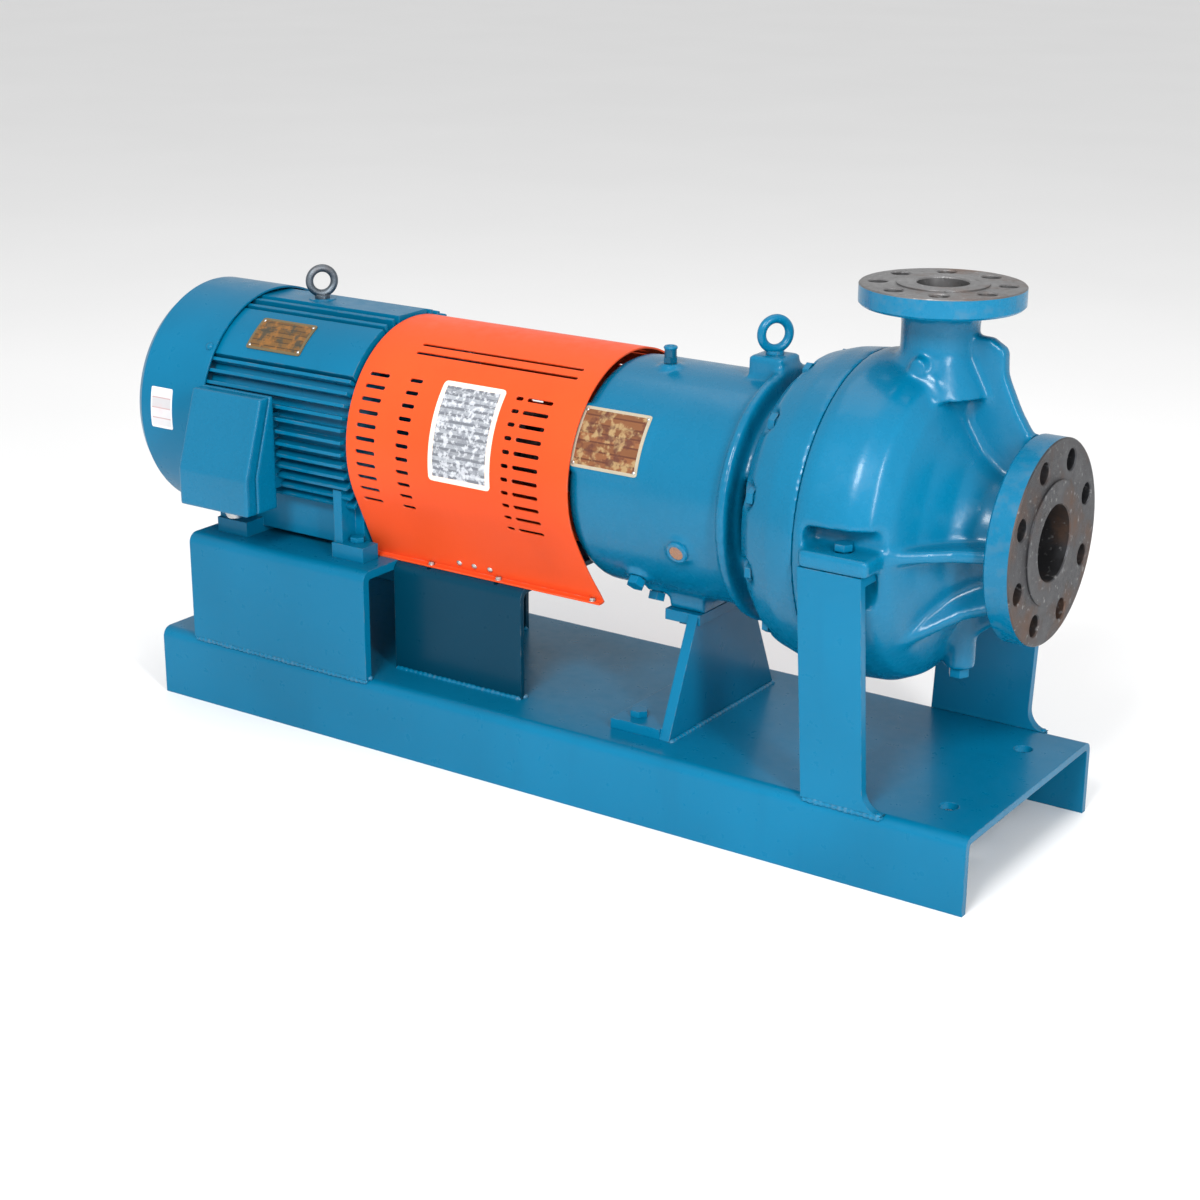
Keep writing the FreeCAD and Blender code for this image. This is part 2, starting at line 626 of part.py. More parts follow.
def build_guard():
    outside, low_y = guard_solid("guard_radius", "support_top", "guard_left", "guard_length")
    inside, _ = guard_solid("guard_radius - guard_sheet", "support_top - 5", "guard_left - 1",
                            "guard_length + 2")
    lips = [block("guard_length", "guard_lip", "guard_sheet", "guard_left", y, "support_top")
            for y in (f"-({low_y}) - guard_lip + 1", f"{low_y} - 1")]
    columns = ((13, 28), (70, 18), (215, 10), (230, 34))
    slots = []
    for i in range(11):
        for offset, length in columns:
            for angle in (26 - 6.6 * i, 154 + 6.6 * i):
                slots.append(spoke(length, 5, "guard_radius - 12", "guard_radius + 8",
                                   f"guard_left + {offset}", angle))
    for angle in (56, 62, 118, 124):
        slots.append(spoke(219, 4, "guard_radius - 12", "guard_radius + 8", "guard_left + 58",
                           angle))
    slots += [rod(3.2, 20, x, f"{side}guard_bolt_spread", "support_top - 5") for x in (-150, -55)
              for side in SIDES]
    node("coupling_guard", less(fused(less(outside, inside), *lips), *slots))
    node("guard_bolts", group(*[
        hex_bolt(3, 16, 5, x, f"{side}guard_bolt_spread", "support_top + guard_sheet", "-Z", "+Z")
        for x in (-150, -55) for side in SIDES]))


# ---- Bearing frame ---------------------------------------------------------------------------

def build_bearing_frame():
    casting = turned(
        ("barrel_left", "bearing_radius"), ("barrel_left", 100), ("barrel_left + 10", 118),
        ("barrel_left + 24", "barrel_radius"), ("barrel_right - 14", "barrel_radius"),
        ("barrel_right - 10", "barrel_radius + 12"), ("barrel_right", "barrel_radius + 12"),
        ("barrel_right", "neck_radius"), ("adapter_left", "neck_radius"), ("adapter_left", 140),
        ("adapter_left + 17", 157), ("adapter_left + 44", 165),
        ("parting_line", "parting_radius"), ("parting_line", "spigot_radius"),
        ("parting_line - 10", "spigot_radius"), ("parting_line - 10", 118),
        ("adapter_left + 36", 100), ("barrel_right - 6", 96), ("barrel_right - 8", 34),
        ("radial_left + radial_width", 34), ("radial_left + radial_width", "bearing_radius"),
        ("radial_left - 4", "bearing_radius"), ("radial_left - 4", 70),
        ("barrel_right - 36", 84), ("barrel_right - 28", 113), ("barrel_left + 32", 113),
        ("barrel_left + 20", 98), ("barrel_left + 20", 74), ("thrust_left + thrust_width + 6", 72),
        ("thrust_left + thrust_width + 6", 46), ("thrust_left + thrust_width", 46),
        ("thrust_left + thrust_width", "bearing_radius"))
    eye_boss = less(block(40, 40, "eye_boss_top - 118", "frame_eye_place - 20", -20,
                          "shaft_high + 118"),
                    rod(4.8, 20, "frame_eye_place", 0, "shaft_high + eye_boss_top - 18"))
    foot_boss = block("foot_head_length", "foot_head_width - 10", 30, "web_place - 30",
                      "-foot_head_width / 2 + 5", "foot_head_top")
    plate_seat = patch(62, 92, 114, "barrel_radius + 1", 152, 74)
    bosses = [rod(15, 14, "sight_place", *polar(114, 200), outward(200)),
              rod(13, 16, "plug_place", *polar(114, 227), outward(227)),
              rod(13, 16, "plug_place", *polar(114, 248), outward(248)),
              rod(11, 14, "breather_place", "breather_side", "shaft_high + 114")]
    pockets = [rod(13, "pocket_floor - adapter_left + 1", "adapter_left - 1",
                   *polar("casing_bolt_circle + 2", angle), "+X") for angle in CASING_BOLTS]
    holes = [rod(6, 90, "adapter_left + 10", *polar("casing_bolt_circle", angle), "+X")
             for angle in CASING_BOLTS]
    holes += [rod(4, 14, "barrel_left - 2", *polar(66, 60 * i), "+X") for i in range(6)]
    holes += [rod(5.2, 20, "web_place - 15", f"{side}head_bolt_spread", "foot_head_top - 5")
              for side in SIDES]
    holes += [rod(8, 30, "sight_place", *polar(105, 200), outward(200)),
              rod(7, 30, "plug_place", *polar(105, 227), outward(227)),
              rod(7, 30, "plug_place", *polar(105, 248), outward(248)),
              rod(5, 30, "breather_place", "breather_side", "shaft_high + 105")]
    windows = [block(16, 60, 84, "barrel_right + 3", low, "shaft_high - 42") for low in (-130, 70)]
    solid = fused(casting, eye_boss, foot_boss, plate_seat, *bosses)
    node("bearing_frame", less(solid, *pockets, *holes, *windows))


def build_frame_fittings():
    cover = turned(("barrel_left - 12", 24.5), ("barrel_left - 12", 66), ("barrel_left - 8", 76),
                   ("barrel_left", 76), ("barrel_left", "bearing_radius"),
                   ("barrel_left + 18", "bearing_radius"), ("barrel_left + 18", 49),
                   ("barrel_left + 3", 49), ("barrel_left + 3", 34),
                   ("barrel_left - 8", 34), ("barrel_left - 8", 24.5))
    holes = [rod(4, 30, "barrel_left - 15", *polar(66, 60 * i), "+X") for i in range(6)]
    node("bearing_end_cover", less(cover, *holes))
    node("end_cover_bolts", group(*[
        hex_bolt(4, 20, 7, "barrel_left - 12", *polar(66, 60 * i), "+X", "-X") for i in range(6)]))
    seals = []
    for x in ("barrel_left - 8", "radial_left + radial_width + 4"):
        seals.append(turned((x, "journal_radius - 2.95"), (x, 34), (f"{x} + 10", 34),
                            (f"{x} + 10", "journal_radius - 2.95")))
    node("oil_seals", group(*seals))
    seat = "shaft_high + barrel_radius + 3"
    node("breather_cap", fused(rod(5, 12, "breather_place", "breather_side", seat, "-Z"),
                               hexagon(8, 6, "breather_place", "breather_side", seat),
                               rod(6.5, 16, "breather_place", "breather_side", seat),
                               torus(5.5, 2, "breather_place", "breather_side", f"{seat} + 16")))
    node("sight_glass", rod(8, 14, "sight_place", *polar(117, 200), outward(200)))
    node("oil_plugs", group(*[
        fused(rod(7, 10, "plug_place", *polar(121, angle), outward(angle)),
              hexagon(10, 9, "plug_place", *polar(130, angle), outward(angle)))
        for angle in (227, 248)]))
    node("frame_nameplate", patch(66, 84, "barrel_radius + 1", "barrel_radius + 2.5", 152, 66))
    node("frame_eyebolt", eyebolt("frame_eye_place", "shaft_high + eye_boss_top",
                                  "shaft_high + 169", 15.8, 4.8))


def build_pump_bearings():
    outer, inner = bearing("thrust_left", "thrust_width", "bearing_radius", 47.5,
                           "journal_radius", 33, (12, 32), 11)
    node("thrust_bearing_outer", outer)
    node("thrust_bearing_inner", group(*inner))
    outer, inner = bearing("radial_left", "radial_width", "bearing_radius", 47.5,
                           "journal_radius", 33, ("radial_width / 2",), 9)
    node("radial_bearing_outer", outer)
    node("radial_bearing_inner", group(*inner))


# ---- Pump shaft and what turns with it -----------------------------------------------------------

def build_pump_rotor():
    seal_journal = "journal_radius - 3"
    sleeve_left = "barrel_right + 4"
    shaft = turned(
        ("pump_shaft_end", 0), ("pump_shaft_end", "motor_shaft_radius"),
        ("barrel_left - 20", "motor_shaft_radius"), ("barrel_left - 20", seal_journal),
        ("barrel_left + 6", seal_journal), ("barrel_left + 6", "journal_radius"),
        ("thrust_left + thrust_width", "journal_radius"), ("thrust_left + thrust_width", 31),
        ("radial_left", 31), ("radial_left", "journal_radius"),
        ("radial_left + radial_width", "journal_radius"),
        ("radial_left + radial_width", seal_journal), (sleeve_left, seal_journal),
        (sleeve_left, 20), ("impeller_left", 20), ("impeller_left", 17), ("impeller_left + 40", 17),
        ("impeller_left + 40", 11), ("impeller_left + 62", 11), ("impeller_left + 62", 0))
    key = ("pump_shaft_end + 5", 38, "motor_shaft_radius")
    node("pump_shaft", less(shaft, key_block(*key)))
    node("pump_key", key_block(*key))
    nut = turned(("thrust_left - 11", "journal_radius"), ("thrust_left - 11", 35),
                 ("thrust_left", 35), ("thrust_left", "journal_radius"))
    slots = [spoke(14, 6, 31, 40, "thrust_left - 12", 45 + 90 * i) for i in range(4)]
    node("bearing_locknut", less(nut, *slots))
    node("shaft_sleeve", turned((sleeve_left, 20), (sleeve_left, "sleeve_radius + 5"),
                                (f"{sleeve_left} + 10", "sleeve_radius + 5"),
                                (f"{sleeve_left} + 10", "sleeve_radius"),
                                ("impeller_left", "sleeve_radius"), ("impeller_left", 20)))
    node("seal_rotary_head", turned(
        ("parting_line - 30", "sleeve_radius"), ("parting_line - 30", "sleeve_radius + 6"),
        ("parting_line - 24", "sleeve_radius + 9"), ("parting_line", "sleeve_radius + 9"),
        ("parting_line", "sleeve_radius")))


def build_impeller():
    """A closed impeller: back disc and hub, front shroud with the eye ring, and curved vanes."""
    left = "impeller_left"
    back = turned((left, 17), (left, 32), (f"{left} + 4", 44), (f"{left} + 4", "impeller_radius"),
                  (f"{left} + 8", "impeller_radius"), (f"{left} + 12", 60), (f"{left} + 24", 34),
                  (f"{left} + 40", 24), (f"{left} + 40", 17))
    front = turned((f"{left} + 18", "impeller_radius"), (f"{left} + 22", "impeller_radius"),
                   (f"{left} + 30", 62), (f"{left} + 36", "eye_radius + 6"),
                   (f"{left} + 48", "eye_radius + 6"), (f"{left} + 48", "eye_radius"),
                   (f"{left} + 34", "eye_radius"), (f"{left} + 26", 60))
    vanes = []
    for i in range(6):
        angle = 60 * i
        ring = less(rod(70, 22, f"{left} + 5", *polar(66, angle), "+X"),
                    rod(66, 24, f"{left} + 4", *polar(66, angle), "+X"))
        sweep = place(pad("YZ", 22, ((0, 0), ("impeller_radius * 2", 0),
                                     ("impeller_radius * 2", "impeller_radius * 2"),
                                     (0, "impeller_radius * 2"))),
                      f"{left} + 5", 0, "shaft_high", FreeCAD.Rotation(SPIN_AXIS, angle))
        vanes.append(shared(ring, sweep))
    envelope = turned((f"{left} + 5", 40), (f"{left} + 5", "impeller_radius"),
                      (f"{left} + 20", "impeller_radius"), (f"{left} + 28", 60),
                      (f"{left} + 33", 48), (f"{left} + 33", 40))
    node("impeller", fused(back, front, shared(fused(*vanes), envelope)))
    node("impeller_nut", fused(
        turned((f"{left} + 40", 11), (f"{left} + 40", 22), (f"{left} + 46", 22),
               (f"{left} + 46", 11)),
        less(hexagon(19, 14, f"{left} + 45", 0, "shaft_high", "+X"),
             rod(11, 40, f"{left} + 30", 0, "shaft_high", "+X"))))


# ---- Wet end -----------------------------------------------------------------------------------

def build_seal_chamber():
    node("casing_cover", less(turned(
        ("parting_line - 34", "seal_bore"), ("parting_line - 34", 66), ("parting_line - 16", 66),
        ("parting_line - 10", 100), ("parting_line - 10", "spigot_radius"),
        ("parting_line + 3", "spigot_radius"), ("parting_line + 3", "chamber_radius - 1"),
        ("parting_line + 14", "chamber_radius - 1"), ("parting_line + 20", 112),
        ("parting_line + 22", 60), ("parting_line + 22", "sleeve_radius + 1"),
        ("parting_line + 14", "sleeve_radius + 1"), ("parting_line + 14", "seal_bore")),
        *[rod(4, 16, "parting_line - 35", *polar(54, 45 + 90 * i), "+X") for i in range(4)]))
    node("casing_gasket", turned(
        ("parting_line + 3", "chamber_radius - 0.5"), ("parting_line + 3", "spigot_radius"),
        ("parting_line + 4.5", "spigot_radius"), ("parting_line + 4.5", "chamber_radius - 0.5")))
    gland_left = "parting_line - 48"
    gland_right = "parting_line - 34"
    node("seal_gland", less(turned(
        (gland_left, "sleeve_radius + 1.5"), (gland_left, 62), (gland_right, 62),
        (gland_right, "seal_bore"), (f"{gland_right} + 3.5", "seal_bore"),
        (f"{gland_right} + 3.5", "sleeve_radius + 1.5")),
        *[rod(4, 30, f"{gland_left} - 5", *polar(54, 45 + 90 * i), "+X") for i in range(4)]))
    node("gland_studs", group(*[
        hex_bolt(4, 28, 7, gland_left, *polar(54, 45 + 90 * i), "+X", "-X") for i in range(4)]))
    node("wear_ring", turned(
        ("chamber_right - 6", "eye_radius + 6.4"), ("chamber_right - 6", "eye_radius + 14"),
        ("chamber_right + 6.5", "eye_radius + 14"), ("chamber_right + 6.5", "eye_radius + 6.4")))


def build_casing():
    line = "parting_line"
    flange_back = "suction_face - suction_thick"
    rim = "suction_face - raised_face"
    drum = turned(
        (line, 0), (line, "parting_radius"), (f"{line} + 14", "parting_radius + 3"),
        (f"{line} + 58", "parting_radius"), (f"{line} + 78", 159), (f"{line} + 93", 140),
        (f"{line} + 106", 110), (f"{line} + 124", 82), (f"{line} + 146", 64),
        (flange_back, 58), (flange_back, "suction_flange"), (rim, "suction_flange"),
        (rim, "suction_raised"), ("suction_face", "suction_raised"), ("suction_face", 0))
    x = "discharge_place"
    top = "discharge_face - discharge_thick"
    neck = [rod("discharge_neck", "discharge_face - shaft_high - 100", x, 0, "shaft_high + 90"),
            cone(60, "discharge_neck", 40, x, 0, "shaft_high + 136"),
            cone("discharge_neck", "discharge_neck + 9", 12, x, 0, f"{top} - 12"),
            rod("discharge_flange", "discharge_thick - raised_face", x, 0, top),
            rod("discharge_raised", "discharge_thick", x, 0, top)]
    top_rib = rib(16, 90, (420, 100), (440, 195), (482, 196), (499, 186), (501, 160), (516, 128),
                  ("suction_face - suction_thick + 1", 100),
                  ("suction_face - suction_thick + 1", 40))
    ribs = [rib(14, angle, (430, 60), (446, 148), (500, 100),
                ("suction_face - suction_thick + 1", 84),
                ("suction_face - suction_thick + 1", 40)) for angle in (0, 180, 225, 315, 270)]
    lugs = [block(76, "lug_reach - 100", "lug_thick", "leg_left + 1", y, "leg_top")
            for y in ("-lug_reach", 100)]
    bosses = [rod(16, 90, "drain_place", 0, "shaft_high - 150"),
              rod(9, 20, x, -30, "discharge_face - 76", "-Y"),
              rod(9, 20, f"{x} - 22", -26, "discharge_face - 92", "-Y"),
              rod(9, 20, f"{x} + 14", -28, "discharge_face - 92", "-Y")]
    cavity = turned(
        (line, 0), (line, "spigot_radius"), (f"{line} + 4.5", "spigot_radius"),
        (f"{line} + 4.5", "chamber_radius"), ("chamber_right - 8", "chamber_radius"),
        ("chamber_right", "chamber_radius - 8"), ("chamber_right", "eye_radius + 14"),
        ("chamber_right + 6.5", "eye_radius + 14"), ("chamber_right + 6.5", "eye_radius"),
        ("chamber_right + 40", "suction_bore"), ("suction_face", "suction_bore"),
        ("suction_face", 0))
    holes = [rod("discharge_bore", "discharge_face - shaft_high - 100", x, 0, "shaft_high + 112"),
             rod(8, 60, "drain_place", 0, "shaft_high - 155")]
    holes += [rod("suction_hole_radius", 60, "suction_face - 45", *polar("suction_circle", angle),
                  "+X") for angle in FLANGE_HOLES]
    holes += [rod("discharge_hole_radius", 30, f"{x} + discharge_circle * cos({angle})",
                  f"discharge_circle * sin({angle})", "discharge_face - 26")
              for angle in FLANGE_HOLES]
    holes += [rod(6, 30, f"{line} - 2", *polar("casing_bolt_circle", angle), "+X")
              for angle in CASING_BOLTS]
    holes += [rod(7.5, 40, "lug_bolt_place", f"{side}lug_bolt_spread", "leg_top - 5")
              for side in SIDES]
    pockets = []
    for y, width in (("-lug_reach - 5", "front_leg_width"), ("lug_pocket", "rear_leg_width")):
        reach = "lug_reach - lug_pocket + 5"
        pockets.append(block(78, reach, "pocket_high", "leg_left", y, "leg_top + lug_thick"))
        pockets.append(block(f"{width} + 2", reach, "leg_room", "leg_left - 1", y,
                             "leg_top - leg_room"))
    shell = fused(fused(drum, *neck), top_rib, *ribs)
    solid = fused(shell, *lugs, *bosses)
    node("casing", less(less(solid, cavity, *pockets), *holes))
    node("casing_bolts", group(*[
        hex_bolt(6, "parting_line - pocket_floor + 22", 10, "pocket_floor",
                 *polar("casing_bolt_circle", angle), "+X", "-X") for angle in CASING_BOLTS]))
    node("casing_drain_plug", fused(rod(8, 12, "drain_place", 0, "shaft_high - 150"),
                                    hexagon(11, 9, "drain_place", 0, "shaft_high - 150", "-Z")))


# ---- Build, check and export ---------------------------------------------------------------------

def build_all():
    fill_sheet()
    build_base()
    build_pedestal()
    build_guard_support()
    build_leg("casing_leg_front", "-", "front_leg_width")
    build_leg("casing_leg_rear", "", "rear_leg_width")
    build_frame_foot()
    build_hold_down_bolts()
    build_motor_frame()
    build_stator()
    build_end_bells()
    build_motor_bearings()
    build_motor_rotor()
    build_fan_cover()
    build_conduit_box()
    build_motor_trim()
    build_coupling()
    build_guard()
    build_bearing_frame()
    build_frame_fittings()
    build_pump_bearings()
    build_pump_rotor()
    build_impeller()
    build_seal_chamber()
    build_casing()
    doc.recompute()


def check_all():
    """Stop if any object failed or any sub-part has no valid shape."""
    for item in doc.Objects:
        if "Invalid" in item.State or "Error" in item.State:
            raise RuntimeError(f"{item.Label} ({item.Name}) failed to compute")
    for item in NODES:
        if item.Shape.isNull() or not item.Shape.isValid():
            raise RuntimeError(f"{item.Label} has no valid shape")
        if not item.Shape.Solids:
            raise RuntimeError(f"{item.Label} has no solid")


def export_all():
    os.makedirs("parts", exist_ok=True)
    for item in NODES:
        item.Shape.exportStep(f"parts/{item.Label}.step")
        box = item.Shape.BoundBox
        print(f"{item.Label}: {len(item.Shape.Solids)} solids, {item.Shape.Volume / 1000:.1f} cm3, "
              f"x {box.XMin:.1f}..{box.XMax:.1f}, y {box.YMin:.1f}..{box.YMax:.1f}, "
              f"z {box.ZMin:.1f}..{box.ZMax:.1f}")
    print(len(NODES), "nodes")


build_all()
check_all()
export_all()
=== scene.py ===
import bmesh
import bpy
import json
import math
import numpy as np
from mathutils import Matrix, Vector


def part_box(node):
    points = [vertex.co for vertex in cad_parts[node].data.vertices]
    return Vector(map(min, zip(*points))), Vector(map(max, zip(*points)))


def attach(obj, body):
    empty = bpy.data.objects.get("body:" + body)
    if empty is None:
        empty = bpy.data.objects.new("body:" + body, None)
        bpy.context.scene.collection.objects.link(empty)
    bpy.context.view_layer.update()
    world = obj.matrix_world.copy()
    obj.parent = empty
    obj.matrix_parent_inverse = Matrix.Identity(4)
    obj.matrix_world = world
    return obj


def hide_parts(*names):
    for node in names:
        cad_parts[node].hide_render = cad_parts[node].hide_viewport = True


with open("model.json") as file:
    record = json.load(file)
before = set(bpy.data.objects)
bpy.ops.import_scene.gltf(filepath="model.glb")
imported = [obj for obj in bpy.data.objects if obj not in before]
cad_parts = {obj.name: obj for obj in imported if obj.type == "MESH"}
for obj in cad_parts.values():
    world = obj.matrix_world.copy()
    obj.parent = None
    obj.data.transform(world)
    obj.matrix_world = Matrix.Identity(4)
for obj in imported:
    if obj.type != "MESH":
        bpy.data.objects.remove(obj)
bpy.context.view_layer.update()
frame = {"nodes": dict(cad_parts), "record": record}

# A horizontal end-suction pump set: castings, sheet parts, plates and welds around the CAD frame.
# Lengths are in metres. X runs along the shaft to the suction flange, and -Y is the near side.
# Angles about the shaft start at the near side and turn towards +Z.

MM = 0.001
SET = "pump_set"
NODES = frame["nodes"]


def middle(node):
    low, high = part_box(node)
    return (low + high) / 2


SHAFT = middle("motor_shaft").z
CASING_LOW, CASING_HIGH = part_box("casing")
SUCTION_FACE = CASING_HIGH.x
DISCHARGE_FACE = CASING_HIGH.z
MOUNTS = {mount["name"]: mount for mount in frame["record"]["mounts"]}
DISCHARGE_X = MOUNTS["discharge_bolts"]["pos_m"][0]
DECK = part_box("baseplate")[1].z
DECK_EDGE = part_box("baseplate")[1].y


def on_barrel(x, radius, degrees):
    """The point at that place along the shaft, radius and angle."""
    angle = math.radians(degrees)
    return Vector((x, -radius * math.cos(angle), SHAFT + radius * math.sin(angle)))


def outwards(degrees):
    angle = math.radians(degrees)
    return Vector((0, -math.cos(angle), math.sin(angle)))


# ---- Materials ------------------------------------------------------------------------------

class Graph:
    """A material's shader nodes, added one call at a time."""

    def __init__(self, name):
        self.material = bpy.data.materials.new(name)
        self.material.use_nodes = True
        self.tree = self.material.node_tree
        self.tree.nodes.clear()
        self.surface = self.add("ShaderNodeBsdfPrincipled")
        output = self.add("ShaderNodeOutputMaterial")
        self.tree.links.new(self.surface.outputs["BSDF"], output.inputs["Surface"])
        self.place = self.add("ShaderNodeTexCoord").outputs["Object"]
        self.normal = None

    def add(self, kind, **settings):
        node = self.tree.nodes.new(kind)
        for key, setting in settings.items():
            setattr(node, key, setting)
        return node

    def feed(self, socket, value):
        if isinstance(value, bpy.types.NodeSocket):
            self.tree.links.new(value, socket)
        else:
            socket.default_value = value

    def math(self, operation, first, second=0.0):
        node = self.add("ShaderNodeMath", operation=operation)
        self.feed(node.inputs[0], first)
        self.feed(node.inputs[1], second)
        return node.outputs[0]

    def spread(self, value, low, high, to_low=0.0, to_high=1.0):
        node = self.add("ShaderNodeMapRange")
        for socket, number in zip(node.inputs, (value, low, high, to_low, to_high)):
            self.feed(socket, number)
        return node.outputs[0]

    def noise(self, scale, detail=2.0, roughness=0.5, stretch=(1, 1, 1)):
        mapping = self.add("ShaderNodeMapping")
        self.feed(mapping.inputs["Vector"], self.place)
        mapping.inputs["Scale"].default_value = stretch
        node = self.add("ShaderNodeTexNoise")
        self.feed(node.inputs["Vector"], mapping.outputs[0])
        for name, number in (("Scale", scale), ("Detail", detail), ("Roughness", roughness)):
            node.inputs[name].default_value = number
        return node.outputs[0]

    def mix(self, factor, first, second):
        node = self.add("ShaderNodeMix", data_type="RGBA")
        self.feed(node.inputs[0], factor)
        self.feed(node.inputs[6], first)
        self.feed(node.inputs[7], second)
        return node.outputs[2]

    def geometry(self, name):
        return self.add("ShaderNodeNewGeometry").outputs[name]

    def round_edges(self, radius):
        """Rounds the normals at edges, and returns how far each point is bent by that."""
        bevel = self.add("ShaderNodeBevel", samples=4)
        bevel.inputs["Radius"].default_value = radius
        self.normal = bevel.outputs[0]
        turn = self.add("ShaderNodeVectorMath", operation="DOT_PRODUCT")
        self.feed(turn.inputs[0], self.normal)
        self.feed(turn.inputs[1], self.geometry("Normal"))
        return self.math("SUBTRACT", 1.0, turn.outputs["Value"])

    def bump(self, height, depth, strength=1.0):
        node = self.add("ShaderNodeBump")
        node.inputs["Strength"].default_value = strength
        node.inputs["Distance"].default_value = depth
        self.feed(node.inputs["Height"], height)
        if self.normal is not None:
            self.feed(node.inputs["Normal"], self.normal)
        self.normal = node.outputs[0]

    def finish(self, colour, roughness, metallic=0.0, **extra):
        self.feed(self.surface.inputs["Base Color"], colour)
        self.feed(self.surface.inputs["Roughness"], roughness)
        self.surface.inputs["Metallic"].default_value = metallic
        for name, number in extra.items():
            self.surface.inputs[name.replace("_", " ")].default_value = number
        if self.normal is not None:
            self.feed(self.surface.inputs["Normal"], self.normal)
        return self.material


def shade(colour, amount):
    return tuple(min(channel * amount, 1.0) for channel in colour) + (1.0,)


def paint(name, colour, cast, gloss=0.3, top_shade=0.0, chip=(0.16, 0.17, 0.17), shine=0.2):
    """Enamel: uneven colour, painted shade on upward faces and in hollows, thin paint at edges,
    fine ripple.
    """
    g = Graph(name)
    broad = g.noise(4.0, 2.0)
    fine = g.noise(70.0, 4.0, 0.6)
    base = g.mix(g.spread(broad, 0.3, 0.7), shade(colour, 0.86), shade(colour, 1.12))
    streaks = g.noise(26.0, 3.0, 0.6, stretch=(1.0, 1.0, 0.12))
    base = g.mix(g.spread(streaks, 0.56, 0.8, 0.0, 0.2), base, shade(colour, 0.66))
    # Painted shade: faces turned upwards are darkened towards a dark blue, a little mottled.
    facing = g.add("ShaderNodeSeparateXYZ")
    g.feed(facing.inputs[0], g.geometry("Normal"))
    top = g.spread(facing.outputs[2], 0.6, 1.0, 0.0, top_shade)
    base = g.mix(g.math("MULTIPLY", top, g.spread(broad, 0.3, 0.7, 0.7, 1.0)), base,
                 shade(colour, 0.3))
    if cast:
        hollow = g.geometry("Pointiness")
        # Painted shade: hollows of the cast surface are darkened towards a dark blue.
        base = g.mix(g.spread(hollow, 0.485, 0.43, 0.0, 0.7), base, shade(colour, 0.3))
        edge = g.spread(hollow, 0.55, 0.63, 0.0, 1.0)
    else:
        edge = g.spread(g.round_edges(1.6 * MM), 0.04, 0.22)
    worn = g.math("MULTIPLY", edge, g.spread(fine, 0.5, 0.62))
    base = g.mix(g.math("MULTIPLY", edge, 0.35), base, shade(colour, 1.5))
    base = g.mix(g.math("MULTIPLY", worn, 0.7), base, chip + (1.0,))
    if cast:
        g.bump(g.noise(160.0, 3.0, 0.6), 0.4 * MM, 0.4)
        g.bump(g.noise(28.0, 2.0), 1.2 * MM, 0.3)
    else:
        g.bump(g.noise(14.0, 2.0), 1.0 * MM, 0.25)
    g.bump(g.noise(900.0, 1.0), 0.06 * MM, 0.45)
    rough = g.spread(fine, 0.3, 0.7, gloss - 0.04, gloss + 0.08)
    return g.finish(base, rough, Specular_IOR_Level=shine, Coat_Weight=shine / 2,
                    Coat_Roughness=0.12)


def metal(name, colour, roughness, tint=(0.23, 0.14, 0.09), tint_share=0.25, grain=300.0):
    """Bare steel or iron with faint stains and a fine grain."""
    g = Graph(name)
    fine = g.noise(grain, 3.0, 0.6)
    stain = g.noise(24.0, 4.0, 0.65)
    base = g.mix(g.spread(fine, 0.3, 0.7), shade(colour, 0.82), shade(colour, 1.12))
    base = g.mix(g.spread(stain, 0.54, 0.72, 0.0, tint_share), base, tint + (1.0,))
    edge = g.spread(g.round_edges(0.7 * MM), 0.05, 0.25, 0.0, 0.5)
    base = g.mix(edge, base, shade(colour, 1.4))
    g.bump(fine, 0.08 * MM, 0.4)
    rough = g.spread(stain, 0.35, 0.7, roughness - 0.06, roughness + 0.16)
    return g.finish(base, rough, 1.0)


def machined_face(name, colour, axis, centre):
    """A lathe-cut face: fine rings about its axis, rust tints, handling stains and painted glints.
    """
    pitch = 0.8 * MM
    g = Graph(name)
    offset = g.add("ShaderNodeVectorMath", operation="SUBTRACT")
    g.feed(offset.inputs[0], g.place)
    offset.inputs[1].default_value = centre
    flat = g.add("ShaderNodeVectorMath", operation="MULTIPLY")
    g.feed(flat.inputs[0], offset.outputs[0])
    flat.inputs[1].default_value = tuple(0.0 if i == axis else 1.0 for i in range(3))
    radius = g.add("ShaderNodeVectorMath", operation="LENGTH")
    g.feed(radius.inputs[0], flat.outputs[0])
    rings = g.math("SINE", g.math("MULTIPLY", radius.outputs["Value"], math.tau / pitch))
    bands = g.math("SINE", g.math("MULTIPLY", radius.outputs["Value"], math.tau / (pitch * 11)))
    stain = g.noise(16.0, 4.0, 0.62)
    spots = g.noise(95.0, 4.0, 0.7)
    base = g.mix(g.spread(bands, -1.0, 1.0, 0.0, 0.4), shade(colour, 1.1), shade(colour, 0.8))
    base = g.mix(g.spread(stain, 0.5, 0.68, 0.0, 0.7), base, (0.15, 0.085, 0.055, 1.0))
    base = g.mix(g.spread(spots, 0.56, 0.7, 0.0, 0.7), base, (0.04, 0.035, 0.032, 1.0))
    # Painted glints: light grey specks standing for sparkle on the cut metal.
    painted_glints = g.noise(150.0, 2.0, 0.5)
    base = g.mix(g.spread(painted_glints, 0.63, 0.73, 0.0, 0.6), base, (0.36, 0.36, 0.36, 1.0))
    g.bump(rings, 0.12 * MM, 0.6)
    g.bump(spots, 0.1 * MM, 0.3)
    rough = g.spread(stain, 0.35, 0.7, 0.3, 0.6)
    return g.finish(base, rough, 0.85)


def plain(name, colour, roughness, grain, metallic=0.0, depth=0.1):
    """Rubber, plastic, varnish or fibre: one colour with mottling and a fine grain."""
    g = Graph(name)
    fine = g.noise(grain, 3.0)
    broad = g.noise(30.0, 2.0)
    base = g.mix(g.spread(broad, 0.35, 0.65), shade(colour, 0.8), shade(colour, 1.2))
    g.bump(fine, depth * MM, 0.5)
    return g.finish(base, g.spread(fine, 0.3, 0.7, roughness - 0.08, roughness + 0.08), metallic)


